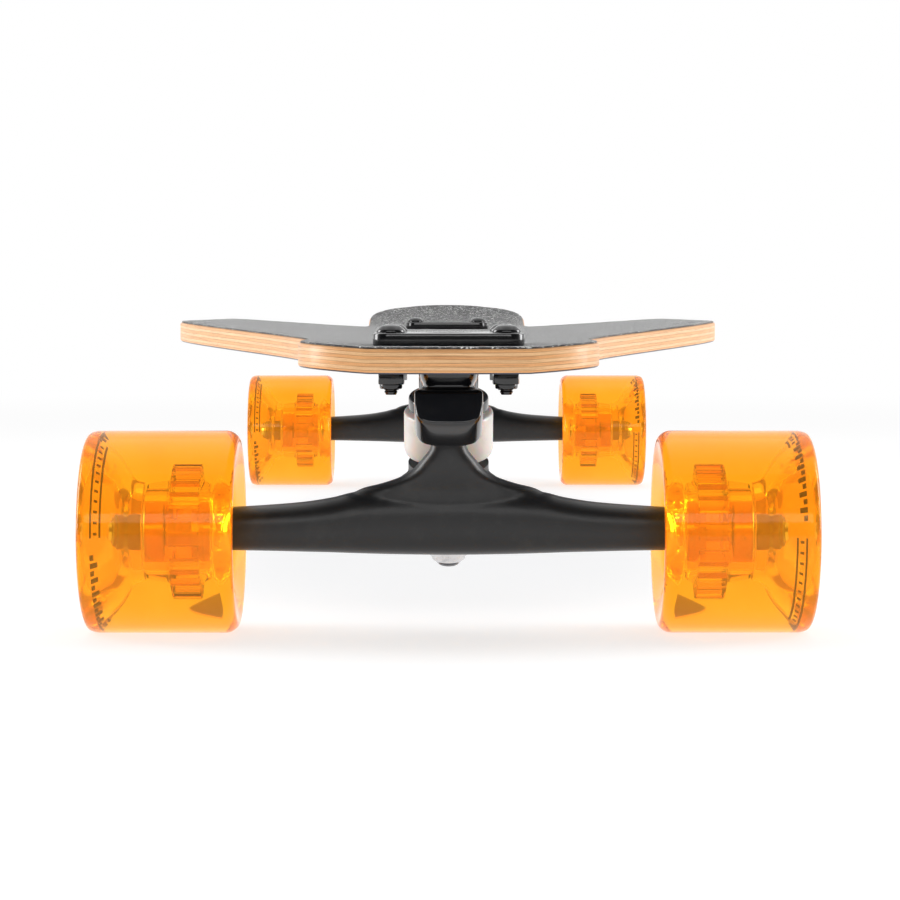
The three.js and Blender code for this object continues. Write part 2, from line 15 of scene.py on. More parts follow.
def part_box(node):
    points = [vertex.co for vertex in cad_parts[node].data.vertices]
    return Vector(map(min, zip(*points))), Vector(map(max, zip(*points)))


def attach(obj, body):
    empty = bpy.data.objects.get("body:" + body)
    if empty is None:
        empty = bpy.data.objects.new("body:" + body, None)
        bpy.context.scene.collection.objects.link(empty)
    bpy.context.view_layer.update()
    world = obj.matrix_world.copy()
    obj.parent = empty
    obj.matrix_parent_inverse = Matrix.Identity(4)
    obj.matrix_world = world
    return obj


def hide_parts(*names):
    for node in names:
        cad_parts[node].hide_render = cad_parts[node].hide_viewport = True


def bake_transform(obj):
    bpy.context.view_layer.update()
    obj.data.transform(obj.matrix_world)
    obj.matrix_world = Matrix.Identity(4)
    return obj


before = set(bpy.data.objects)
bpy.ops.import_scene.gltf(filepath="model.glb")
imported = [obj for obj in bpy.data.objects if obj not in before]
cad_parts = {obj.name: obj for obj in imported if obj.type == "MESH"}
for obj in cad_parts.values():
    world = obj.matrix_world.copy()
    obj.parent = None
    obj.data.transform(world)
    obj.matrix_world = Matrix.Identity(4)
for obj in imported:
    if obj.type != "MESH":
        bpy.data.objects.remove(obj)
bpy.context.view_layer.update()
MM = 0.001

# %% [markdown]
# ## The places that everything is measured from
# The axles, the deck's ends and the widths come from the frame, so the looks follow the model if it
# changes. Sizes that the frame's boxes can't give are named once, where they are first needed.

# %% Places from the frame
deck_low, deck_high = (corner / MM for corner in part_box("deck"))
grip_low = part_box("grip_tape")[0] / MM
axle_y = {end: sum(corner.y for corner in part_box(f"axle_{end}")) / 2 / MM for end in ("front", "rear")}
axle_z = sum(corner.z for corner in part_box("axle_front")) / 2 / MM
axle_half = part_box("axle_front")[1].x / MM
wheel_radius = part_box("tyre_front_left")[1].z / MM / 2
hanger_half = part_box("hanger_front")[1].x / MM
WOOD_THICK, GRIP_THICK, GAP = 8.7, 0.6, 0.1
FLANGE_THICK = 4.4
flange_bottom = deck_low.z + WOOD_THICK + GAP + GRIP_THICK + GAP
flange_top = flange_bottom + FLANGE_THICK
TURN = {"front": 0.0, "rear": math.pi}
print("wheelbase", round(axle_y["rear"] - axle_y["front"], 1), "mm, wheel", round(2 * wheel_radius, 1), "mm")


# %% [markdown]
# ## Camera, floor and light
# The board is seen end on from just above its deck, through a long lens. It stands on a pale floor that
# fades into a white backdrop. The backdrop lights it from behind and above and the studio behind the camera
# is dark, which gives the black castings their bright rims and dark faces.

# %% Camera
camera_data = bpy.data.cameras.new("camera")
camera = bpy.data.objects.new("camera", camera_data)
bpy.context.scene.collection.objects.link(camera)
bpy.context.scene.camera = camera
CAMERA_DISTANCE, CAMERA_HEIGHT, CAMERA_LEFT = 0.96, 0.1182, 0.0015
TILT_DOWN, LOOK_RIGHT = math.radians(3.05911), math.radians(0.12)
camera_data.sensor_width = 36
camera_data.lens = 105.16
camera_data.clip_end = 100
camera.location = (-CAMERA_LEFT, axle_y["front"] * MM - CAMERA_DISTANCE, CAMERA_HEIGHT)
camera.rotation_euler = (math.pi / 2 - TILT_DOWN, 0, -LOOK_RIGHT)
bpy.context.scene.view_settings.view_transform = "Standard"
print("lens", round(camera_data.lens, 1), "mm")


# %% [markdown]
# ## A short way to write node trees
# Each finish below is a graph of nodes. This helper adds a node, sets its sockets and links what feeds it,
# so that a finish reads as a few lines.

# %% Node helper
def node(tree, kind, inputs=None, **settings):
    made = tree.nodes.new(kind)
    for key, value in settings.items():
        setattr(made, key, value)
    for key, value in (inputs or {}).items():
        if isinstance(value, bpy.types.NodeSocket):
            tree.links.new(value, made.inputs[key])
        else:
            made.inputs[key].default_value = value
    return made


def ramp(tree, factor, stops):
    made = node(tree, "ShaderNodeValToRGB", {"Fac": factor})
    elements = made.color_ramp.elements
    while len(elements) < len(stops):
        elements.new(0.5)
    for element, (place, color) in zip(elements, stops):
        element.position = place
        element.color = (*color, 1) if len(color) == 3 else color
    return made.outputs["Color"]


def mix(tree, factor, a, b, blend="MIX"):
    made = node(tree, "ShaderNodeMix", data_type="RGBA", blend_type=blend)
    for socket, value in ((made.inputs[0], factor), (made.inputs[6], a), (made.inputs[7], b)):
        if isinstance(value, bpy.types.NodeSocket):
            tree.links.new(value, socket)
        else:
            socket.default_value = value if isinstance(value, float) else (*value, 1)
    return made.outputs[2]


def math_node(tree, operation, a, b, c=0.5, clamp=False):
    made = node(tree, "ShaderNodeMath", {0: a, 1: b, 2: c}, operation=operation, use_clamp=clamp)
    return made.outputs[0]


def noise(tree, place, scale, detail=2.0, roughness=0.5):
    return node(tree, "ShaderNodeTexNoise", {"Vector": place, "Scale": scale, "Detail": detail,
                                             "Roughness": roughness}).outputs["Fac"]


def vary_roughness(tree, shader, mask, amount, least):
    """Roughness that rises with a mask, from the least it can be."""
    tree.links.new(math_node(tree, "MULTIPLY_ADD", mask, amount, least), shader.inputs["Roughness"])


# %% Backdrop light
world = bpy.data.worlds.new("studio")
bpy.context.scene.world = world
world.use_nodes = True
sky = world.node_tree
sky.nodes.clear()
around = node(sky, "ShaderNodeTexCoord").outputs["Generated"]
direction = node(sky, "ShaderNodeSeparateXYZ", {0: around})


def fading(axis, start, end, low, high):
    """Light that changes from low to high as a direction's share along an axis goes from start to end."""
    return node(sky, "ShaderNodeMapRange", {"Value": direction.outputs[axis], "From Min": start,
                                            "From Max": end, "To Min": low, "To Max": high}).outputs[0]


behind = fading("Y", -0.25, 0.3, 0.05, 1.0)
overhead = fading("Z", 0.6, 0.95, 0.0, 0.22)
lit = math_node(sky, "MAXIMUM", behind, overhead)
path = node(sky, "ShaderNodeLightPath")
clear = math_node(sky, "MAXIMUM", path.outputs["Is Camera Ray"], path.outputs["Is Transmission Ray"])
strength = math_node(sky, "MAXIMUM", lit, clear)
light = node(sky, "ShaderNodeBackground", {"Color": (1, 1, 1, 1), "Strength": strength})
node(sky, "ShaderNodeOutputWorld", {"Surface": light.outputs[0]})


# %% Soft lights
def soft_light(name, place, target, size, power):
    data = bpy.data.lights.new(name, "AREA")
    data.shape = "RECTANGLE"
    data.size, data.size_y = size
    data.energy = power
    lamp = bpy.data.objects.new(name, data)
    bpy.context.scene.collection.objects.link(lamp)
    lamp.location = place
    lamp.rotation_euler = (Vector(target) - Vector(place)).to_track_quat("-Z", "Y").to_euler()


front_y = axle_y["front"] * MM
front_axle = (0, front_y, 0.05)
soft_light("overhead_softbox", (0, 0.1, 1.7), (0, 0, 0), size=(1.6, 2.2), power=5)
soft_light("left_softbox", (-1.2, front_y + 0.35, 0.4), front_axle, size=(0.5, 0.8), power=9)
soft_light("right_softbox", (1.2, front_y + 0.35, 0.4), front_axle, size=(0.5, 0.8), power=9)
soft_light("low_front_softbox", (0, front_y - 1.3, 0.5), front_axle, size=(1.8, 0.24), power=5)
print("lights", len(bpy.data.lights))


# %% Floor
def floor_finish():
    material = bpy.data.materials.new("floor")
    material.use_nodes = True
    tree = material.node_tree
    tree.nodes.clear()
    place = node(tree, "ShaderNodeTexCoord").outputs["Object"]
    distance = node(tree, "ShaderNodeVectorMath", {0: place}, operation="LENGTH").outputs["Value"]
    fade = node(tree, "ShaderNodeMapRange", {"Value": distance, "From Min": 0.9, "From Max": 2.4},
                interpolation_type="SMOOTHSTEP").outputs[0]
    matt = node(tree, "ShaderNodeBsdfDiffuse", {"Color": (0.96, 0.96, 0.965, 1)}).outputs[0]
    white = node(tree, "ShaderNodeEmission", {"Color": (1, 1, 1, 1), "Strength": 1.0}).outputs[0]
    glow = node(tree, "ShaderNodeEmission", {"Color": (1, 1, 1, 1), "Strength": 1.25}).outputs[0]
    paper = node(tree, "ShaderNodeMixShader", {0: 0.55, 1: matt, 2: glow}).outputs[0]
    mixed = node(tree, "ShaderNodeMixShader", {0: fade, 1: paper, 2: white}).outputs[0]
    node(tree, "ShaderNodeOutputMaterial", {"Surface": mixed})
    return material


bpy.ops.mesh.primitive_circle_add(vertices=96, radius=9, fill_type="NGON", location=(0, 0, 0))
floor = bpy.context.object
floor.name = "floor"
floor.data.materials.append(floor_finish())


# %% [markdown]
# ## Shared effects
# Two effects appear on more than one finish: fine grain that lifts the surface, and dust that settles on
# it in patches. Each is a node group with named inputs, built once and placed with its own values.

# %% Effect groups
def effect_group(name, inputs, outputs):
    tree = bpy.data.node_groups.new(name, "ShaderNodeTree")
    for label, kind, value in inputs:
        socket = tree.interface.new_socket(label, in_out="INPUT", socket_type=kind)
        if value is not None:
            socket.default_value = value
    for label, kind in outputs:
        tree.interface.new_socket(label, in_out="OUTPUT", socket_type=kind)
    return tree, node(tree, "NodeGroupInput"), node(tree, "NodeGroupOutput")


def grain_effect():
    tree, source, result = effect_group(
        "fine_grain", [("Vector", "NodeSocketVector", None), ("Scale", "NodeSocketFloat", 900.0),
                       ("Depth", "NodeSocketFloat", 0.5)],
        [("Height", "NodeSocketFloat"), ("Mask", "NodeSocketFloat")])
    coarse = noise(tree, source.outputs["Vector"], source.outputs["Scale"], 3.0, 0.6)
    tree.links.new(math_node(tree, "MULTIPLY", coarse, source.outputs["Depth"]), result.inputs["Height"])
    tree.links.new(coarse, result.inputs["Mask"])
    return tree


def dust_effect():
    tree, source, result = effect_group(
        "settled_dust", [("Vector", "NodeSocketVector", None), ("Color", "NodeSocketColor", (0, 0, 0, 1)),
                         ("Dust", "NodeSocketColor", (0.5, 0.47, 0.43, 1)),
                         ("Amount", "NodeSocketFloat", 0.2), ("Scale", "NodeSocketFloat", 60.0)],
        [("Color", "NodeSocketColor"), ("Mask", "NodeSocketFloat")])
    cloud = noise(tree, source.outputs["Vector"], source.outputs["Scale"], 6.0, 0.7)
    patch = node(tree, "ShaderNodeMapRange", {"Value": cloud, "From Min": 0.5, "From Max": 0.75}).outputs[0]
    amount = math_node(tree, "MULTIPLY", patch, source.outputs["Amount"], clamp=True)
    tree.links.new(mix(tree, amount, source.outputs["Color"], source.outputs["Dust"]), result.inputs["Color"])
    tree.links.new(amount, result.inputs["Mask"])
    return tree


GRAIN = grain_effect()
DUST = dust_effect()


def use_effect(tree, group, inputs):
    made = node(tree, "ShaderNodeGroup", node_tree=group)
    for key, value in inputs.items():
        if isinstance(value, bpy.types.NodeSocket):
            tree.links.new(value, made.inputs[key])
        else:
            made.inputs[key].default_value = value
    return made


def new_finish(name, **sockets):
    """A material with a Principled shader whose plain values are set on its own sockets."""
    material = bpy.data.materials.new(name)
    material.use_nodes = True
    tree = material.node_tree
    shader = tree.nodes["Principled BSDF"]
    for key, value in sockets.items():
        shader.inputs[key.replace("_", " ")].default_value = value
    return material, tree, shader


def object_place(tree):
    return node(tree, "ShaderNodeTexCoord").outputs["Object"]


def lift(tree, shader, height, strength, distance=MM):
    bump = node(tree, "ShaderNodeBump", {"Height": height, "Strength": strength, "Distance": distance})
    tree.links.new(bump.outputs["Normal"], shader.inputs["Normal"])


# %% [markdown]
# ## Coated castings
# The trucks are cast aluminium with a black coat. The hanger's is satin, with the slight orange peel of
# powder; the baseplate's is a wet-looking gloss. Dust lies on both.

# %% Black coats
def coat_finish(name, color, roughness, peel, dust, coat=0.0):
    material, tree, shader = new_finish(name, Coat_Weight=coat, Coat_Roughness=0.06)
    place = object_place(tree)
    dusty = use_effect(tree, DUST, {"Vector": place, "Color": (*color, 1), "Amount": dust, "Scale": 90.0})
    tree.links.new(dusty.outputs["Color"], shader.inputs["Base Color"])
    vary_roughness(tree, shader, dusty.outputs["Mask"], 0.3, roughness)
    grain = use_effect(tree, GRAIN, {"Vector": place, "Scale": 700.0, "Depth": 0.5})
    lift(tree, shader, grain.outputs["Height"], peel, 0.2 * MM)
    return material


satin_black = coat_finish("satin_black_coat", (0.009, 0.009, 0.0095), 0.36, 0.35, 0.02)
gloss_black = coat_finish("gloss_black_coat", (0.005, 0.005, 0.006), 0.15, 0.12, 0.02, 0.4)


# %% [markdown]
# ## Steel
# Turned steel shows fine rings and catches the light along them; plated fasteners are darker and softer.

# %% Steels
def steel_finish(name, color, roughness, rings):
    material, tree, shader = new_finish(name, Metallic=1.0)
    place = object_place(tree)
    dusty = use_effect(tree, DUST, {"Vector": place, "Color": (*color, 1), "Dust": (0.1, 0.08, 0.07, 1),
                                    "Amount": 0.35, "Scale": 220.0})
    tree.links.new(dusty.outputs["Color"], shader.inputs["Base Color"])
    vary_roughness(tree, shader, dusty.outputs["Mask"], 0.4, roughness)
    grain = use_effect(tree, GRAIN, {"Vector": place, "Scale": rings, "Depth": 0.4})
    lift(tree, shader, grain.outputs["Height"], 0.25, 0.1 * MM)
    return material


bright_steel = steel_finish("bright_steel", (0.72, 0.72, 0.73), 0.2, 1500.0)
dark_steel = steel_finish("dark_steel", (0.2, 0.2, 0.21), 0.34, 1500.0)


# %% [markdown]
# ## Urethane, core and bushings
# The wheels are cast clear: light bends through them and comes out orange, more deeply the further it has
# travelled, so the tint is in the volume. The moulded core inside is paler. The bushings are a milky
# urethane that lets light in but not through.

# %% Clear urethane
def urethane_finish():
    # The urethane also glows faintly orange through its emission. This is painted light that brightens the
    # wheels, not a lamp.
    material, tree, shader = new_finish("orange_urethane_painted_glow", IOR=1.3, Transmission_Weight=0.86,
                                        Specular_Tint=(1.0, 0.8, 0.55, 1), Emission_Strength=0.10,
                                        Emission_Color=(1.0, 0.34, 0.03, 1))
    place = object_place(tree)
    cloud = noise(tree, place, 45.0, 3.0)
    tint = ramp(tree, cloud, [(0.3, (1.0, 0.50, 0.03)), (0.7, (1.0, 0.58, 0.06))])
    tree.links.new(tint, shader.inputs["Base Color"])
    grain = use_effect(tree, GRAIN, {"Vector": place, "Scale": 260.0, "Depth": 0.4})
    vary_roughness(tree, shader, grain.outputs["Mask"], 0.06, 0.02)
    lift(tree, shader, grain.outputs["Height"], 0.06, 0.1 * MM)
    depth = node(tree, "ShaderNodeVolumeAbsorption", {"Color": (1.0, 0.9, 0.35, 1), "Density": 50.0})
    tree.links.new(depth.outputs[0], tree.nodes["Material Output"].inputs["Volume"])
    return material


def core_finish():
    material, tree, shader = new_finish("moulded_core", IOR=1.08, Transmission_Weight=1.0)
    place = object_place(tree)
    cloud = noise(tree, place, 160.0, 4.0)
    tint = ramp(tree, cloud, [(0.3, (1.0, 0.80, 0.50)), (0.7, (1.0, 0.90, 0.66))])
    tree.links.new(tint, shader.inputs["Base Color"])
    vary_roughness(tree, shader, cloud, 0.1, 0.0)
    return material


def bushing_finish():
    material, tree, shader = new_finish("pale_bushing", Subsurface_Weight=0.6, Subsurface_Scale=0.004,
                                        Coat_Weight=0.3, Coat_Roughness=0.12)
    place = object_place(tree)
    dusty = use_effect(tree, DUST, {"Vector": place, "Color": (0.86, 0.85, 0.82, 1),
                                    "Dust": (0.45, 0.42, 0.38, 1), "Amount": 0.3, "Scale": 140.0})
    tree.links.new(dusty.outputs["Color"], shader.inputs["Base Color"])
    vary_roughness(tree, shader, dusty.outputs["Mask"], 0.4, 0.32)
    return material


def print_finish():
    material, tree, shader = new_finish("printed_ink", Specular_IOR_Level=0.3)
    place = object_place(tree)
    cloud = noise(tree, place, 700.0, 4.0)
    tint = ramp(tree, cloud, [(0.35, (0.045, 0.012, 0.004)), (0.75, (0.12, 0.035, 0.01))])
    tree.links.new(tint, shader.inputs["Base Color"])
    tree.links.new(math_node(tree, "ADD", cloud, 0.1), shader.inputs["Roughness"])
    return material


urethane = urethane_finish()
core_clear = core_finish()
bushing_pale = bushing_finish()
ink = print_finish()
cup_black = coat_finish("cup_urethane", (0.02, 0.02, 0.02), 0.55, 0.2, 0.1)


# %% [markdown]
# ## Maple ply and grip tape
# The deck is pressed from thin maple sheets, and its sawn edge shows them as stripes with dark glue lines
# between. The stripes follow the bend of the board, so they are driven by each point's depth in the
# thickness, which is stored on the mesh. The grip tape is coarse grit that looks dark from above and pale
# along the surface, where every grain catches the light.

# %% Ply
PLY_COUNT = 7
GLUE_LINE, FADE = 0.02, 0.012
FILM_THICK = 0.5
ALONG_SCALE, THROUGH_SCALE = 60.0, 9.0


def ply_finish():
    material, tree, shader = new_finish("maple_ply", Coat_Weight=0.25, Coat_Roughness=0.2)
    depth = node(tree, "ShaderNodeAttribute", attribute_name="ply").outputs["Fac"]
    place = object_place(tree)
    split = node(tree, "ShaderNodeSeparateXYZ", {0: place})
    along = node(tree, "ShaderNodeCombineXYZ", {
        0: math_node(tree, "MULTIPLY", split.outputs["X"], ALONG_SCALE),
        1: math_node(tree, "MULTIPLY", split.outputs["Y"], ALONG_SCALE),
        2: math_node(tree, "MULTIPLY", depth, THROUGH_SCALE)}).outputs[0]
    streak = noise(tree, along, 1.0, 6.0, 0.65)
    wander = noise(tree, place, 25.0)
    bent = math_node(tree, "MULTIPLY_ADD", wander, 0.35, -0.17)
    stripe = math_node(tree, "DIVIDE", math_node(tree, "ADD", depth, bent), WOOD_THICK)
    light_ply, dark_ply, glue = (0.98, 0.63, 0.33), (0.93, 0.49, 0.20), (0.55, 0.24, 0.08)
    stops = []
    for i in range(PLY_COUNT):
        tone, start, end = light_ply if i % 2 else dark_ply, i / PLY_COUNT, (i + 1) / PLY_COUNT
        stops += [(start + FADE, tone), (end - GLUE_LINE, tone), (end, glue)]
    sheets = ramp(tree, stripe, stops[:-1])
    fibre = ramp(tree, streak, [(0.36, (0.60, 0.46, 0.34)), (0.5, (1.0, 0.97, 0.93)),
                                (0.66, (1.12, 1.14, 1.15))])
    fine = noise(tree, along, 3.3, 5.0, 0.8)
    pores = ramp(tree, fine, [(0.36, (0.52, 0.36, 0.22)), (0.48, (1.0, 1.0, 1.0))])
    wood = mix(tree, 0.9, mix(tree, 0.9, sheets, fibre, "MULTIPLY"), pores, "MULTIPLY")
    film = math_node(tree, "LESS_THAN", depth, FILM_THICK)
    tree.links.new(mix(tree, film, wood, (0.035, 0.045, 0.07)), shader.inputs["Base Color"])
    vary_roughness(tree, shader, streak, 0.3, 0.3)
    lift(tree, shader, streak, 0.35, 0.3 * MM)
    return material


# %% Grip
def grip_finish():
    material, tree, shader = new_finish("grip_grit", Sheen_Weight=0.95, Sheen_Roughness=0.13,
                                        Sheen_Tint=(1.0, 1.0, 1.0, 1), Specular_IOR_Level=0.6)
    place = object_place(tree)
    grit = node(tree, "ShaderNodeTexVoronoi", {"Vector": place, "Scale": 1300.0}).outputs["Color"]
    value = node(tree, "ShaderNodeSeparateColor", {0: grit}).outputs[0]
    # The grit's own tones are dark. Its brightest specks are painted near white as painted glints, where
    # grains catch the light.
    grain = ramp(tree, value, [(0.0, (0.012, 0.012, 0.013)), (0.66, (0.045, 0.045, 0.047)),
                               (0.88, (0.24, 0.24, 0.235)), (1.0, (0.95, 0.95, 0.93))])
    dusty = use_effect(tree, DUST, {"Vector": place, "Color": grain, "Dust": (0.42, 0.41, 0.39, 1),
                                    "Amount": 0.15, "Scale": 30.0})
    tree.links.new(dusty.outputs["Color"], shader.inputs["Base Color"])
    vary_roughness(tree, shader, value, -0.25, 0.68)
    fine = use_effect(tree, GRAIN, {"Vector": place, "Scale": 1500.0, "Depth": 1.0})
    lift(tree, shader, fine.outputs["Height"], 1.0, 0.5 * MM)
    return material


maple = ply_finish()
grip_black = grip_finish()


# %% [markdown]
# ## How the pieces are modelled
# A turned part, such as a wheel or a washer, is drawn as half a section and spun. A sheet or a cast limb is
# a grid whose corners are bent to a rule, which keeps the faces even. Cast pieces are made from several
# such limbs that are fused by a voxel remesh, which also leaves the soft inner corners of a casting, and
# are then bored with booleans. What repeats is modelled once, and each copy gets its own mesh.

# %% Modelling helpers
masters = []


def begin(name):
    piece = bpy.context.object
    piece.name = piece.data.name = name
    masters.append(piece)
    return piece


def edit(piece):
    bpy.ops.object.select_all(action="DESELECT")
    bpy.context.view_layer.objects.active = piece
    piece.select_set(True)
    bpy.ops.object.mode_set(mode="EDIT")
    bpy.ops.mesh.select_all(action="SELECT")


def choose(piece, kind, rule):
    """Opens a piece for editing with only the edges or faces selected that a rule accepts."""
    edit(piece)
    bpy.ops.mesh.select_mode(type=kind)
    bpy.ops.mesh.select_all(action="DESELECT")
    bpy.ops.object.mode_set(mode="OBJECT")
    for part in piece.data.polygons if kind == "FACE" else piece.data.edges:
        part.select = rule(part)
    bpy.ops.object.mode_set(mode="EDIT")


def edited():
    """Back to vertices and out of editing."""
    bpy.ops.mesh.select_mode(type="VERT")
    bpy.ops.object.mode_set(mode="OBJECT")


def close_up(piece, fill=False):
    """Merges the seams, closes the ends and turns every face outwards."""
    edit(piece)
    bpy.ops.mesh.remove_doubles(threshold=0.002)
    if fill:
        bpy.ops.mesh.fill_holes(sides=0)
        bpy.ops.mesh.select_all(action="SELECT")
    bpy.ops.mesh.normals_make_consistent(inside=False)
    bpy.ops.object.mode_set(mode="OBJECT")
    return piece


def smooth(piece, degrees=32):
    bpy.ops.object.select_all(action="DESELECT")
    bpy.context.view_layer.objects.active = piece
    piece.select_set(True)
    bpy.ops.object.shade_smooth_by_angle(angle=math.radians(degrees))
    return piece


def spun(name, profile, sides=64, degrees=32):
    """A turned piece about Z: a half section of (radius, height) points is drawn out, then spun."""
    bpy.ops.object.select_all(action="DESELECT")
    bpy.ops.mesh.primitive_plane_add(size=1, location=(0, 0, 0))
    piece = begin(name)
    edit(piece)
    bpy.ops.mesh.merge(type="CENTER")
    points = [Vector((point[0], 0, point[1])) for point in profile]
    bpy.ops.transform.translate(value=points[0])
    for a, b in zip(points, points[1:]):
        bpy.ops.mesh.extrude_vertices_move(TRANSFORM_OT_translate={"value": b - a})
    bpy.ops.mesh.select_all(action="SELECT")
    bpy.ops.mesh.spin(steps=sides, angle=2 * math.pi, center=(0, 0, 0), axis=(0, 0, 1))
    bpy.ops.object.mode_set(mode="OBJECT")
    return smooth(close_up(piece), degrees)


def rounded(corners, steps=4):
    """Corners (radius, height, fillet) as points, with a curve in place of each corner that has a fillet."""
    points = []
    for i, corner in enumerate(corners):
        here = Vector(corner[:2])
        if len(corner) < 3 or i in (0, len(corners) - 1):
            points.append(here)
            continue
        back, on = Vector(corners[i - 1][:2]) - here, Vector(corners[i + 1][:2]) - here
        reach = min(corner[2], 0.48 * back.length, 0.48 * on.length)
        a, b = here + back.normalized() * reach, here + on.normalized() * reach
        for k in range(steps + 1):
            t = k / steps
            points.append((1 - t) ** 2 * a + 2 * t * (1 - t) * here + t * t * b)
    return points


def dome(radius, height, steps=8):
    """A quarter circle of points, from the rim at a height up to the pole."""
    quarter = [math.pi / 2 * k / steps for k in range(steps + 1)]
    return [(radius * math.cos(angle), height + radius * math.sin(angle)) for angle in quarter]


def dense(points, step=1.4):
    """The same line with points no further apart than a step, so that it can bend."""
    filled = [Vector(points[0])]
    for a, b in zip(points, points[1:]):
        count = max(1, math.ceil((Vector(b) - Vector(a)).length / step))
        filled += [Vector(a).lerp(Vector(b), k / count) for k in range(1, count + 1)]
    return filled


def ring_section(inner, outer, low, high, fillet=0.3):
    """The closed half section of a plain ring with softened corners."""
    middle = (low + high) / 2
    return rounded([(inner, middle), (inner, low, fillet), (outer, low, fillet), (outer, high, fillet),
                    (inner, high, fillet), (inner, middle)], 3)


def grid_shape(name, columns, rows, place, fill=False):
    """A grid whose corners are put by a rule, place(column, row), with its seams merged."""
    bpy.ops.object.select_all(action="DESELECT")
    bpy.ops.mesh.primitive_grid_add(x_subdivisions=columns, y_subdivisions=rows, size=2, location=(0, 0, 0))
    piece = begin(name)
    for vertex in piece.data.vertices:
        vertex.co = place(round((vertex.co.x + 1) / 2 * columns), round((vertex.co.y + 1) / 2 * rows))
    return close_up(piece, fill)


def smooth_row(table, t):
    """The row of numbers at t, from 0 to 1, on a smooth curve through the table's rows."""
    k = t * (len(table) - 1)
    i = min(int(k), len(table) - 2)
    f = k - i
    rows = [table[max(0, i - 1)], table[i], table[i + 1], table[min(len(table) - 1, i + 2)]]
    return [0.5 * (2 * b + (c - a) * f + (2 * a - 5 * b + 4 * c - d) * f * f
                   + (3 * b - a - 3 * c + d) * f ** 3)
            for a, b, c, d in zip(*rows)]


def oval(half_u, half_v, power, turn):
    """A point on a rounded oval at a share of a turn."""
    c, s = math.cos(2 * math.pi * turn), math.sin(2 * math.pi * turn)
    return (half_u * math.copysign(abs(c) ** (2 / power), c),
            half_v * math.copysign(abs(s) ** (2 / power), s))


def limb(name, table, place, around=48, along=40):
    """A cast limb: an oval that changes along a table of sizes. place(row, turn) gives its points."""
    return grid_shape(name, around, along, lambda i, j: place(smooth_row(table, j / along), i / around), True)


def modifier(piece, kind, **settings):
    bpy.ops.object.select_all(action="DESELECT")
    bpy.context.view_layer.objects.active = piece
    piece.select_set(True)
    added = piece.modifiers.new(kind.lower(), kind)
    for key, value in settings.items():
        setattr(added, key, value)
    bpy.ops.object.modifier_apply(modifier=added.name)
    return piece


def bore(piece, cutter):
    modifier(piece, "BOOLEAN", operation="DIFFERENCE", object=cutter, solver="EXACT")


def fuse(piece, voxel, passes):
    """Fuses overlapping shapes into one casting, and softens it."""
    modifier(piece, "REMESH", mode="VOXEL", voxel_size=voxel)
    modifier(piece, "SMOOTH", factor=0.5, iterations=passes)


def moved(piece, matrix):
    piece.data.transform(matrix)
    return piece


def join(*pieces):
    bpy.ops.object.select_all(action="DESELECT")
    for piece in pieces:
        piece.select_set(True)
    bpy.context.view_layer.objects.active = pieces[0]
    bpy.ops.object.join()
    for piece in pieces[1:]:
        masters.remove(piece)
    return pieces[0]


def hexagon(name, flats, low, high, chamfer=0.5):
    """A hexagonal bar with its corners turned off at both ends, as on a nut or a bolt head."""
    bpy.ops.object.select_all(action="DESELECT")
    bpy.ops.mesh.primitive_cylinder_add(vertices=6, radius=flats / math.sqrt(3), depth=high - low,
                                        location=(0, 0, (low + high) / 2))
    piece = begin(name)
    bpy.ops.object.transform_apply(location=True, rotation=True, scale=True)
    edit(piece)
    bpy.ops.mesh.bevel(offset=chamfer, segments=2, affect="EDGES")
    bpy.ops.object.mode_set(mode="OBJECT")
    return smooth(piece)


def put(master, name, matrix, body, finish, replaced=()):
    """A copy of a master with its own mesh, put in its place in metres, finished, and tied to its body."""
    piece = bpy.data.objects.new(name, master.data.copy())
    piece.data.name = name
    bpy.context.scene.collection.objects.link(piece)
    piece.data.transform(Matrix.Scale(MM, 4) @ matrix)
    piece.data.materials.clear()
    piece.data.materials.append(finish)
    if body:
        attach(piece, body)
    if replaced:
        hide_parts(*replaced)
    return piece


# %% [markdown]
# ## Where a truck's pieces belong
# Each truck has a frame with its axle over the origin and outboard along -Y. The kingpin leans in it, and
# the steering axis runs from the hanger's ring up to the pivot. A wheel's frame has the axle along Z,
# outboard, from the end of the hanger.

# %% Truck frames
KINGPIN_TILT = math.radians(16.1)
KINGPIN_FOOT = Vector((0, 29.5, 22.7))
STEERING_RISE = math.radians(34.2)
RING_LOW, RING_HIGH = 30.0, 40.5
HEAD_STATION = 82.5
kingpin_local = Matrix.Translation(KINGPIN_FOOT) @ Matrix.Rotation(KINGPIN_TILT, 4, "X")
ring_centre = kingpin_local @ Vector((0, 0, (RING_LOW + RING_HIGH) / 2))
steering_local = Matrix.Translation(ring_centre) @ Matrix.Rotation(math.pi / 2 - STEERING_RISE, 4, "X")


def truck_place(end):
    return Matrix.Translation((0, axle_y[end], 0)) @ Matrix.Rotation(TURN[end], 4, "Z")


def wheel_place(end, side):
    way = 1 if side == "left" else -1
    return (Matrix.Translation((way * hanger_half, axle_y[end], axle_z))
            @ Matrix.Rotation(way * math.pi / 2, 4, "Y"))


ENDS, SIDES = ("front", "rear"), ("left", "right")
print("ring centre in the truck", [round(value, 1) for value in ring_centre])

# %% [markdown]
# ## Wheels
# A wheel is cast urethane round a moulded core that holds two bearings. The tread is flat, its lips are
# rounded, and the outer face is dished. Half of its section is drawn and spun. The core is inside the
# urethane, and its rim has teeth that key into it, made by pulling every other face of the rim inwards.

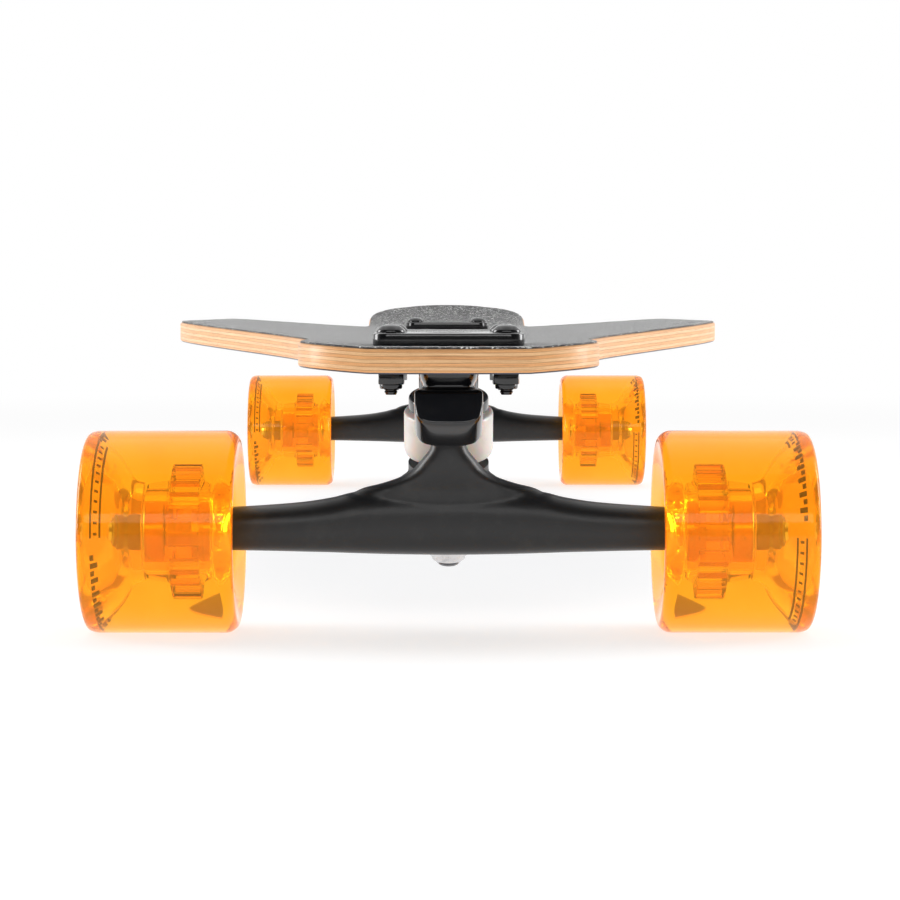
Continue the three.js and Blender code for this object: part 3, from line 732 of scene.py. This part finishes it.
# %% Tyre and core
BEARING_WIDTH, SPEED_WASHER = 7, 0.9
BEARING_INNER, BEARING_OUTER, BEARING_END = 0.9, 17.9, 24.9
tyre = spun("tyre_master", rounded([
    (11.2, 12), (11.2, 0.9, 0.5), (14.2, 0.2, 1.0), (19, -5, 4), (31.5, -8.5, 3), (34.6, -8.5, 1.5),
    (37, -5.6, 2.5), (37, 43.2, 2.2), (36.2, 45.9, 1.4), (34.2, 47, 1.4), (32.2, 46.6, 1.5), (28.2, 43.2, 4),
    (20, 33, 6), (14.6, 29.0, 2), (13.8, 25.2, 0.5), (11.2, 25.2, 0.5), (11.2, 12)], 6), 128, 40)
core = spun("core_master", rounded([
    (11.3, 12), (11.3, 1.4, 0.3), (13.4, 1.4, 0.5), (14.4, 4.4, 1.2), (19, 5, 0.4), (19, 15.3, 0.4),
    (14.4, 16.2, 1.2), (13.4, 24.5, 0.5), (11.3, 24.5, 0.3), (11.3, 12)], 3), 72, 30)
TEETH = 24


def turn_of(face):
    """Where a face is round the axis, as a share of a turn, and how far from it."""
    return (math.atan2(face.center.y, face.center.x) / (2 * math.pi) % 1,
            math.hypot(face.center.x, face.center.y))


def between_teeth(face):
    turn, radius = turn_of(face)
    return radius > 18.6 and int(turn * 3 * TEETH) % 3 == 0


choose(core, "FACE", between_teeth)
bpy.ops.mesh.extrude_region_move(TRANSFORM_OT_translate={"value": (0, 0, 0)})
bpy.ops.transform.resize(value=(0.86, 0.86, 0.94), center_override=(0, 0, 10.15))
edited()
print("core", len(core.data.polygons), "faces; tyre", len(tyre.data.polygons))

# %% Bearings, spacer, washers and nut
race = spun("race_master", ring_section(9.4, 11, 0, BEARING_WIDTH, 0.4), 64)
shield = spun("shield_master", [(5.9, 0.5), (9.4, 0.35), (9.4, 0.9), (5.9, 0.9), (5.9, 0.5)], 64)
inner_race = spun("inner_race_master", ring_section(4.05, 5.8, 0, BEARING_WIDTH, 0.3), 48)
spacer = spun("spacer_master", ring_section(4.1, 5.3, 7.9, BEARING_OUTER, 0.3), 48)
speed_washer = spun("speed_washer_master", ring_section(4.1, 7.4, 0, SPEED_WASHER, 0.25), 48)
axle_nut = hexagon("axle_nut_master", 12.7, 0, 4.6)
collar = spun("axle_nut_collar", rounded([(4.05, 4.5), (5.6, 4.5, 0.3), (5.5, 6.3, 0.7), (4.3, 6.3, 0.2),
                                          (4.05, 4.5)], 3), 48)
axle_nut = join(axle_nut, collar)

# %% Printed ring
# A ring of plain bars and dots is printed on each outer face. It is a strip that follows the dished face,
# from which the gaps are deleted.
MARKS, ARC = 180, 45
BAND_RADIUS, ROW_WIDTH = 28.4, 0.5
band = [(BAND_RADIUS - ROW_WIDTH * k, 43.2 - 0.615 * k) for k in range(9)]
strip = spun("print_master", band, MARKS)


def unprinted(face):
    """Gaps between the marks: tall bars in two arcs, two fine rules with dots between them in the others."""
    turn, radius = turn_of(face)
    beat, row = int(turn * MARKS), int((BAND_RADIUS - radius) / ROW_WIDTH)
    if (beat // ARC) % 2 == 0:
        return beat % ARC > 38 or beat % 3 == 0 or not 1 <= row <= 4 or (beat // 3 % 2 == 0 and row > 2)
    return not (row in (1, 6) or (3 <= row <= 4 and beat % 4 == 0))


choose(strip, "FACE", unprinted)
bpy.ops.mesh.delete(type="FACE")
edited()
modifier(strip, "SOLIDIFY", thickness=0.1, offset=0)
print("print", len(strip.data.polygons), "faces")

# %% Put the wheels in place
for end in ENDS:
    for side in SIDES:
        spot, at = f"{end}_{side}", wheel_place(end, side)
        wheel, hanger = f"wheel_{end}_{side}", f"hanger_{end}"
        put(tyre, f"urethane_tyre_{spot}", at, wheel, urethane, [f"tyre_{spot}"])
        put(core, f"toothed_core_{spot}", at, wheel, core_clear, [f"wheel_core_{spot}"])
        put(strip, f"printed_ring_{spot}", at, wheel, ink)
        for row, start in (("inner", BEARING_INNER), ("outer", BEARING_OUTER)):
            seat = at @ Matrix.Translation((0, 0, start))
            flipped = seat @ Matrix.Translation((0, 0, BEARING_WIDTH)) @ Matrix.Rotation(math.pi, 4, "X")
            put(race, f"{row}_outer_race_{spot}", seat, wheel, bright_steel,
                [f"{row}_bearing_{spot}"])
            put(shield, f"{row}_shield_inboard_{spot}", seat, wheel, dark_steel)
            put(shield, f"{row}_shield_outboard_{spot}", flipped, wheel, dark_steel)
            put(inner_race, f"{row}_inner_race_{spot}", seat, hanger, bright_steel)
        put(spacer, f"bearing_spacer_{spot}", at, hanger, bright_steel)
        put(speed_washer, f"inner_speed_washer_{spot}", at, hanger, bright_steel)
        put(speed_washer, f"outer_speed_washer_{spot}", at @ Matrix.Translation((0, 0, BEARING_END)),
            hanger, bright_steel)
        put(axle_nut, f"lock_nut_{spot}", at @ Matrix.Translation((0, 0, BEARING_END + SPEED_WASHER)),
            hanger, dark_steel, [f"axle_nut_{spot}"])
print("wheels placed")


# %% [markdown]
# ## Axles and threads
# The axle is a steel bar through the hanger, threaded where its nuts go. A thread this fine reads as even
# rings, so it is a zigzag in the section that is spun.

# %% Axles
def thread(radius, low, high, pitch=0.9, depth=0.35):
    """Zigzag points for a threaded length, from low to high."""
    count = max(1, round((high - low) / pitch))
    points = []
    for k in range(count):
        start = low + (high - low) * k / count
        points += [(radius - depth, start), (radius, start + 0.5 * (high - low) / count)]
    return points + [(radius - depth, high)]


AXLE_RADIUS = 4
plain = hanger_half + BEARING_END
side_section = [(AXLE_RADIUS, 0), (AXLE_RADIUS, plain)]
side_section += thread(AXLE_RADIUS, plain + 0.3, axle_half - 0.6) + [(3.2, axle_half), (0, axle_half)]
axle = spun("axle_master", [(r, -z) for r, z in reversed(side_section)] + side_section[1:], 32)
for end in ENDS:
    across = truck_place(end) @ Matrix.Translation((0, 0, axle_z)) @ Matrix.Rotation(math.pi / 2, 4, "Y")
    put(axle, f"steel_axle_{end}", across, f"hanger_{end}", bright_steel, [f"axle_{end}"])
print("axle", round(2 * axle_half, 1), "mm long")

# %% [markdown]
# ## Hangers
# The hanger is a casting: a beam round the axle, a saddle that carries a ring round the kingpin, and a neck
# that narrows to the pivot. Each is a limb of changing ovals. They are fused and smoothed, and then the
# bushing pockets, the ring's bore and the axle's hole are cut, which leaves those edges crisp as machined.

# %% Hanger limbs
# Each row is a station and the oval there: BEAM x, low, high, depth; NECK height above the axle, half
# width, y, depth; SADDLE y, half width, low, high.
BEAM = [(-85, -6.8, 8.9, 8), (-73.1, -6.9, 9.4, 8.2), (-54.4, -7.3, 10.8, 8.6), (-42.5, -7.6, 12.6, 9),
        (-34, -7.9, 14.6, 9.5), (-18, -8.3, 16.2, 10.3), (0, -8.5, 16.5, 10.5)]
BEAM += [(-x, *rest) for x, *rest in reversed(BEAM[:-1])]
NECK = [(10, 40, -0.5, 9), (15.4, 33, -1, 9), (17.6, 25.4, -2, 9.2), (19, 21, -3, 9.4),
        (20.8, 16.7, -4.2, 9.2), (23.9, 12.3, -6, 8.6), (27, 9.8, -7.6, 7.6), (31.3, 6.6, -9.2, 6.2),
        (36, 6.2, -9.8, 5.2), (38, 5, -9.6, 4)]
SADDLE = [(-2, 30, 2, 16), (8, 24, 5, 20), (18, 16.5, 9, 24), (27, 11, 11, 22)]


def beam_point(row, turn):
    x, low, high, depth = row
    y, z = oval(depth, (high - low) / 2, 2.5, turn)
    return x, y, axle_z + (low + high) / 2 + z


def neck_point(row, turn):
    rise, half_x, y, depth = row
    x, across = oval(half_x, depth, 2.3, turn)
    return x, y + across, axle_z + rise


def saddle_point(row, turn):
    y, half_x, low, high = row
    x, z = oval(half_x, (high - low) / 2, 2.6, turn)
    return x, y, axle_z + (low + high) / 2 + z


PIVOT_REACH, PIVOT_RADIUS = 44.3, 6.1
pivot_profile = [(0, PIVOT_REACH - 18), (PIVOT_RADIUS, PIVOT_REACH - 14), (PIVOT_RADIUS, PIVOT_REACH)]
pivot_profile += dome(PIVOT_RADIUS, PIVOT_REACH)[1:-1] + [(0, PIVOT_REACH + PIVOT_RADIUS)]
casting = join(limb("hanger_master", BEAM, beam_point, 56, 96), limb("neck", NECK, neck_point, 56, 48),
               limb("saddle", SADDLE, saddle_point, 56, 24),
               moved(spun("pivot_tip", pivot_profile, 40), steering_local),
               moved(spun("ring", ring_section(7, 15, RING_LOW - 0.4, 43.9, 0.4), 64), kingpin_local))
fuse(casting, 0.85, 5)
print("hanger casting", len(casting.data.polygons), "faces")

# %% Hanger pockets and bores
lower_pocket = spun("lower_pocket", [(0, -12), (18.5, -12), (18.5, RING_LOW), (7.75, RING_LOW), (7.75, 47),
                                     (0, 47)], 64)
upper_pocket = spun("upper_pocket", [(0, 43.5), (11.5, 43.5), (11.5, RING_HIGH), (18, RING_HIGH), (18, 71),
                                     (0, 71)], 64)
axle_hole = spun("axle_hole", [(0, -90), (4.05, -90), (4.05, 90), (0, 90)], 32)
along_axle = Matrix.Translation((0, 0, axle_z)) @ Matrix.Rotation(math.pi / 2, 4, "Y")
for cutter, matrix in ((lower_pocket, kingpin_local), (upper_pocket, kingpin_local), (axle_hole, along_axle)):
    bore(casting, moved(cutter, matrix))
close_up(casting, fill=True)
smooth(casting, 40)
for end in ENDS:
    put(casting, f"hanger_casting_{end}", truck_place(end), f"hanger_{end}", satin_black,
        [f"hanger_{end}"])
print("hanger", len(casting.data.polygons), "faces")

# %% [markdown]
# ## Baseplates
# The baseplate is a glossy casting. Its flange lies on the deck, a web drops through the slot, and under
# the deck it holds the pivot housing and a boss for the kingpin. The flange is a bevelled plate, and what
# hangs from it is fused as the hanger was.

# %% Baseplate
WEB = [(flange_bottom + 1, 11, -28, 37), (96, 11, -26, 33), (93, 10.4, -24.5, 28), (90.5, 9.2, -23, 22),
       (84, 9.0, -21, 8)]


def web_point(row, turn):
    z, half_x, low, high = row
    x, y = oval(half_x, (high - low) / 2, 5, turn)
    return x, (low + high) / 2 + y, z


def plate(name, half_x, low_y, high_y, low_z, high_z, corner, edge):
    """A flat plate with rounded corners and softened edges."""
    bpy.ops.object.select_all(action="DESELECT")
    bpy.ops.mesh.primitive_cube_add(size=1, location=(0, (low_y + high_y) / 2, (low_z + high_z) / 2),
                                    scale=(2 * half_x, high_y - low_y, high_z - low_z))
    piece = begin(name)
    bpy.ops.object.transform_apply(location=True, rotation=True, scale=True)

    def upright(line):
        a, b = (piece.data.vertices[k].co for k in line.vertices)
        return abs(a.z - b.z) > 0.5 * (high_z - low_z)

    choose(piece, "EDGE", upright)
    bpy.ops.mesh.bevel(offset=corner, segments=10, affect="EDGES")
    edited()
    if edge:
        modifier(piece, "BEVEL", width=edge, segments=3, limit_method="ANGLE", angle_limit=math.radians(60))
    return smooth(piece)


HOUSING_HALF, HOUSING_TOP = 12.2, 89.7
CUP_WALL = 2.1
CUP_RADIUS = PIVOT_RADIUS + CUP_WALL
BOSS_FOOT, BOSS_RADIUS = 66.8, 11
housing_rim, housing_back = PIVOT_REACH - 4.3, PIVOT_REACH + 11.5
HOUSING = [(housing_rim, 11.6), (housing_rim + 0.8, HOUSING_HALF), (housing_back - 1.2, HOUSING_HALF),
           (housing_back, 11.0)]


def housing_point(row, turn):
    station, half_size = row
    return *oval(half_size, half_size, 4, turn), station


def cut_level(piece, height):
    """Cuts a closed piece level at a height, drops what is above and closes the top."""
    edit(piece)
    bpy.ops.mesh.bisect(plane_co=(0, 0, height), plane_no=(0, 0, 1), clear_outer=True, use_fill=True)
    bpy.ops.object.mode_set(mode="OBJECT")
    return piece


housing = cut_level(moved(limb("housing", HOUSING, housing_point, 64, 20), steering_local), HOUSING_TOP)
fuse(housing, 0.6, 18)
web = limb("baseplate_master", WEB, web_point, 72, 30)
room = spun("stack_room", [(0, 52), (17.3, 52), (17.3, BOSS_FOOT), (0, BOSS_FOOT)], 64)
bore(web, moved(room, kingpin_local))
boss = moved(spun("boss", [(0, BOSS_FOOT), (BOSS_RADIUS, BOSS_FOOT), (BOSS_RADIUS, 84), (0, 84)], 56),
             kingpin_local)
base = join(web, housing, boss)
fuse(base, 0.6, 4)
print("housing top", HOUSING_TOP, "mm")
hole_radius, hole_end = CUP_RADIUS + 0.2, PIVOT_REACH + 8.5
cup_hole = moved(spun("cup_hole", [(0, 30), (hole_radius, 30), (hole_radius, hole_end), (0, hole_end)], 48),
                 steering_local)
pin_hole = moved(spun("pin_hole", [(0, 55), (5.0, 55), (5.0, HEAD_STATION), (8.56, HEAD_STATION), (8.56, 97),
                                   (0, 97)], 48), kingpin_local)
flange = plate("flange", 27, -33, 45, flange_bottom, flange_top, 7, 0.5)
bore(flange, pin_hole)
bore(base, cup_hole)
bore(base, pin_hole)
smooth(base, 40)
smooth(flange)
base = join(base, flange)
for end in ENDS:
    put(base, f"baseplate_casting_{end}", truck_place(end), "board", gloss_black,
        [f"baseplate_{end}"])
print("baseplate", len(base.data.polygons), "faces")

# %% [markdown]
# ## Kingpins, cups and bushings
# The kingpin clamps two urethane bushings round the hanger's ring between dished washers. When the board
# leans, one end of each bushing stays with the board and the other follows the hanger. Here each is drawn
# with many rings in its sides and left in place, tied to neither body.

# %% Kingpin stack
PIN_RADIUS, PIN_FLATS = 4.76, 14.3
kingpin_head = hexagon("kingpin_head", PIN_FLATS, HEAD_STATION + 0.1, 88.4, 0.5)
shank = spun("kingpin_shank", [(0, 0), (3.9, 0)] + thread(PIN_RADIUS, 0.5, 24)
             + [(PIN_RADIUS, 25), (PIN_RADIUS, 83), (0, 83)], 40)
kingpin = join(kingpin_head, shank)
kingpin_nut = join(hexagon("kingpin_nut", PIN_FLATS, 4.4, 12, 0.5),
                   spun("kingpin_nut_collar", rounded([(4.9, 4.5), (6.6, 4.5, 0.3), (6.4, 2.0, 0.9),
                                                       (4.9, 2.1, 0.2), (4.9, 4.5)], 3), 48))


def cup_washer(name, flat, way):
    dish, lip = flat + way * 2, flat + way * 5
    return spun(name, rounded([(5.06, flat + way), (5.06, flat, 0.3), (14.8, flat, 1.6), (14.8, lip, 0.5),
                               (13.2, lip, 0.5), (13.2, dish, 0.7), (5.06, dish, 0.3),
                               (5.06, flat + way)], 4), 64)


def bushing_shape(name, cupped, way, height, free, widest):
    at = [cupped + way * depth for depth in (0, 3, 4.2, height - 2.2, height)]
    return spun(name, dense(rounded([(5.06, (at[0] + at[4]) / 2), (5.06, at[0], 0.5), (12.9, at[0], 0.5),
                                     (12.9, at[1], 0.6), (widest, at[2], 0.8), (widest, at[3], 1.4),
                                     (free, at[4], 0.8), (5.06, at[4], 0.5),
                                     (5.06, (at[0] + at[4]) / 2)], 4)), 64, 50)


lower_washer = cup_washer("lower_washer_master", 12.1, 1)
upper_washer = cup_washer("upper_washer_master", 66.7, -1)
roadside = bushing_shape("roadside_master", 14.2, 1, 15.5, 11.5, 13.5)
boardside = bushing_shape("boardside_master", 64.6, -1, 20.8, 15.5, 16.5)
WELL_RADIUS = 6.3
cup_back = PIVOT_REACH + CUP_RADIUS
pivot_cup = spun("pivot_cup_master", dome(WELL_RADIUS, PIVOT_REACH)[::-1] + [
    (WELL_RADIUS, housing_rim), (CUP_RADIUS, housing_rim + 0.4), (CUP_RADIUS, cup_back), (0, cup_back)], 48)
for end in ENDS:
    stack, steering = truck_place(end) @ kingpin_local, truck_place(end) @ steering_local
    put(kingpin, f"kingpin_bolt_{end}", stack, "board", dark_steel, [f"kingpin_{end}"])
    put(kingpin_nut, f"kingpin_lock_nut_{end}", stack, "board", bright_steel, [f"kingpin_nut_{end}"])
    put(lower_washer, f"lower_cup_{end}", stack, "board", dark_steel,
        [f"lower_cup_washer_{end}"])
    put(upper_washer, f"upper_cup_{end}", stack, "board", gloss_black,
        [f"upper_cup_washer_{end}"])
    put(pivot_cup, f"pivot_cushion_{end}", steering, "board", cup_black, [f"pivot_cup_{end}"])
    for name, master, fixed, free in (("roadside", roadside, 17.2, 29.4),
                                      ("boardside", boardside, 61.6, 44.2)):
        soft = put(master, f"{name}_cushion_{end}", stack, None, bushing_pale,
                   [f"{name}_bushing_{end}"])
        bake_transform(soft)
print("kingpin stacks placed")

# %% [markdown]
# ## Deck bolts and nuts
# Four bolts hold each truck. Their domed heads have hexagonal sockets, and the lock nuts below the deck
# have a round collar, with a little thread past it.

# %% Deck fasteners
HEAD_LOW = flange_top + 0.1
NUT_HEIGHT, STICK_OUT = 6, 2
BOLT_END = 95.9 - 0.1 - NUT_HEIGHT - STICK_OUT
BOLT_RADIUS, HEAD_RADIUS, HEAD_HEIGHT = 2.4, 5.2, 2.9
shaft = [(0, BOLT_END), (1.8, BOLT_END), (2.0, BOLT_END + 0.3)]
shaft += thread(BOLT_RADIUS, BOLT_END + 0.6, 96.5, 0.8, 0.3) + [(BOLT_RADIUS, 97), (BOLT_RADIUS, HEAD_LOW)]
head = [(HEAD_RADIUS, HEAD_LOW, 0.3), (HEAD_RADIUS, HEAD_LOW + 0.9, 0.5), (3.4, HEAD_LOW + 2.6, 1.2),
        (1.6, HEAD_LOW + HEAD_HEIGHT, 0.6), (0, HEAD_LOW + HEAD_HEIGHT)]
deck_bolt = spun("deck_bolt_master", rounded(shaft + head, 4), 40, 40)
bore(deck_bolt, hexagon("socket", 3.2, HEAD_LOW + 0.9, HEAD_LOW + 5, 0.05))
smooth(deck_bolt, 30)
NUT_TOP = 95.8
deck_nut = join(hexagon("deck_nut_master", 9, NUT_TOP - 4.3, NUT_TOP, 0.4), spun("deck_nut_collar", rounded(
    [(2.5, NUT_TOP - 4), (4.1, NUT_TOP - 4, 0.3), (4.0, NUT_TOP - NUT_HEIGHT, 0.9),
     (2.5, NUT_TOP - 5.9, 0.2), (2.5, NUT_TOP - 4)], 3), 40))
ACROSS, OUTBOARD, INBOARD = 41.28 / 2, -21.0, 32.98
for end in ENDS:
    for row, y in (("outboard", OUTBOARD), ("inboard", INBOARD)):
        for side in SIDES:
            way = (1 if side == "left" else -1) * (1 if end == "front" else -1)
            spot, at = f"{end}_{row}_{side}", truck_place(end) @ Matrix.Translation((way * ACROSS, y, 0))
            turned = at @ Matrix.Rotation(0.4 * y + way, 4, "Z")
            put(deck_bolt, f"domed_bolt_{spot}", turned, "board", gloss_black,
                [f"deck_bolt_{spot}"])
            put(deck_nut, f"collar_nut_{spot}", turned, "board", gloss_black,
                [f"deck_nut_{spot}"])
print("deck fasteners placed")


# %% [markdown]
# ## Deck and grip tape
# The deck is a sheet with a rounded edge all round. It is bent up along both sides of its platform and at
# the kicked tail. A closed grid runs across the top, down the rounded edge and back underneath, at stations
# from nose to tail. The grip tape is the same shape again, thinner and trimmed a little smaller.

# %% The board's outline and bend
NOSE, TAIL = deck_low.y, deck_high.y
NECK_HALF, PLATFORM_HALF = 54, deck_high.x
WOOD_LOW, WOOD_TOP = 95.9, 104.6
FLAT_HALF, CONCAVE_RISE, CONCAVE_POWER = 28, 7.8, 1.1
KICK_START, KICK_RISE, KICK_POWER = 40, 16.5, 1.6
TIP_ROUND, TIP_POWER = 42, 2.3
SHOULDER_START, SHOULDER_END = 35, 268


def board_rise(x, y):
    """How far the board is bent up at a place, by its concave and by the kicked tail."""
    side = max(0, abs(x) - FLAT_HALF) / (PLATFORM_HALF - FLAT_HALF)
    start = axle_y["rear"] + KICK_START
    kick = max(0, y - start) / (TAIL - start)
    return CONCAVE_RISE * side ** CONCAVE_POWER + KICK_RISE * kick ** KICK_POWER


def spaced(a, b, count):
    return [a + (b - a) * k / count for k in range(count)]


def outline_line():
    """Half the board's outline, as (half width, y) from the nose's tip to the tail's."""
    power = 2 / TIP_POWER
    tip = [(NECK_HALF * math.sin(angle) ** power, TIP_ROUND * (1 - math.cos(angle) ** power))
           for angle in (math.pi / 2 * k / 22 for k in range(22))]
    ease = [(NECK_HALF + t * t * (3 - 2 * t) * (PLATFORM_HALF - NECK_HALF),
             SHOULDER_START + t * (SHOULDER_END - SHOULDER_START)) for t in (k / 36 for k in range(37))]
    front, rear = axle_y["front"], axle_y["rear"]
    line = [(w, NOSE + y) for w, y in tip]
    line += [(NECK_HALF, y) for y in spaced(NOSE + TIP_ROUND, front + SHOULDER_START, 8)]
    line += [(w, front + y) for w, y in ease]
    line += [(PLATFORM_HALF, y) for y in spaced(front + SHOULDER_END, rear - SHOULDER_END, 30)[1:]]
    line += [(w, rear - y) for w, y in reversed(ease)]
    line += [(NECK_HALF, y) for y in spaced(rear - SHOULDER_START, TAIL - TIP_ROUND, 18)[1:]]
    return line + [(NECK_HALF, TAIL - TIP_ROUND)] + [(w, TAIL - y) for w, y in reversed(tip)]


OUTLINE = [Vector(point) for point in outline_line()]
OUTWARD = []
for k in range(len(OUTLINE)):
    if k in (0, len(OUTLINE) - 1):
        OUTWARD.append(Vector((0, -1 if k == 0 else 1)))
        continue
    run = OUTLINE[k + 1] - OUTLINE[k - 1]
    OUTWARD.append(Vector((run.y, -run.x)).normalized())


def board_sheet(name, edge, across=30):
    """A closed sheet that follows the board. Edge is its rim from top to bottom, as (inset, height)."""
    top = [(1, -1 + 2 * k / across) for k in range(across)]
    right = [(2, k) for k in range(len(edge))]
    bottom = [(3, 1 - 2 * k / across) for k in range(1, across)]
    left = [(4, len(edge) - 1 - k) for k in range(len(edge))]
    loop = top + right + bottom + left

    def place(column, row):
        part, k = loop[column % len(loop)]
        inset, height = edge[k] if part in (2, 4) else edge[0 if part == 1 else -1]
        rim = OUTLINE[row] - OUTWARD[row] * inset
        x = rim.x * (k if part in (1, 3) else 1 if part == 2 else -1)
        return x, rim.y, height + board_rise(x, rim.y)
    return grid_shape(name, len(loop), len(OUTLINE) - 1, place)


# %% Deck
ROUND = 1.1
quarter = [math.pi / 2 * k / 5 for k in range(6)]
deck_edge = [(ROUND * (1 - math.sin(angle)), WOOD_TOP - ROUND * (1 - math.cos(angle))) for angle in quarter]
deck_edge += [(0, WOOD_LOW + (WOOD_TOP - WOOD_LOW) * 0.5)]
deck_edge += [(ROUND * (1 - math.cos(angle)), WOOD_LOW + ROUND * (1 - math.sin(angle))) for angle in quarter]
deck = board_sheet("deck_master", deck_edge)
slots = []
for end in ENDS:
    slot_cut = plate(f"slot_{end}", 14.5, -29, 41, 85, 125, 6, 0)
    slots.append(moved(slot_cut, truck_place(end)))
for cutter in slots:
    bore(deck, cutter)
deck = smooth(deck, 40)
board = put(deck, "maple_deck", Matrix.Identity(4), "board", maple, ["deck"])
ply = board.data.attributes.new("ply", "FLOAT", "POINT")
for vertex, value in zip(board.data.vertices, ply.data):
    x, y, z = vertex.co / MM
    value.value = z - WOOD_LOW - board_rise(x, y)
print("deck", len(board.data.polygons), "faces")

# %% Grip tape
grip_edge = [(1.1, grip_low.z + 0.6), (0.9, grip_low.z + 0.52), (0.8, grip_low.z + 0.3), (0.8, grip_low.z)]
grip = board_sheet("grip_master", grip_edge, 40)
for cutter in slots:
    bore(grip, cutter)
put(smooth(grip, 40), "grip_sheet", Matrix.Identity(4), "board", grip_black, ["grip_tape"])
print("grip", len(grip.data.polygons), "faces")

# %% [markdown]
# ## Finish
# The masters have done their work and are removed.

# %% Clear up and finish
for master in masters:
    bpy.data.objects.remove(master)
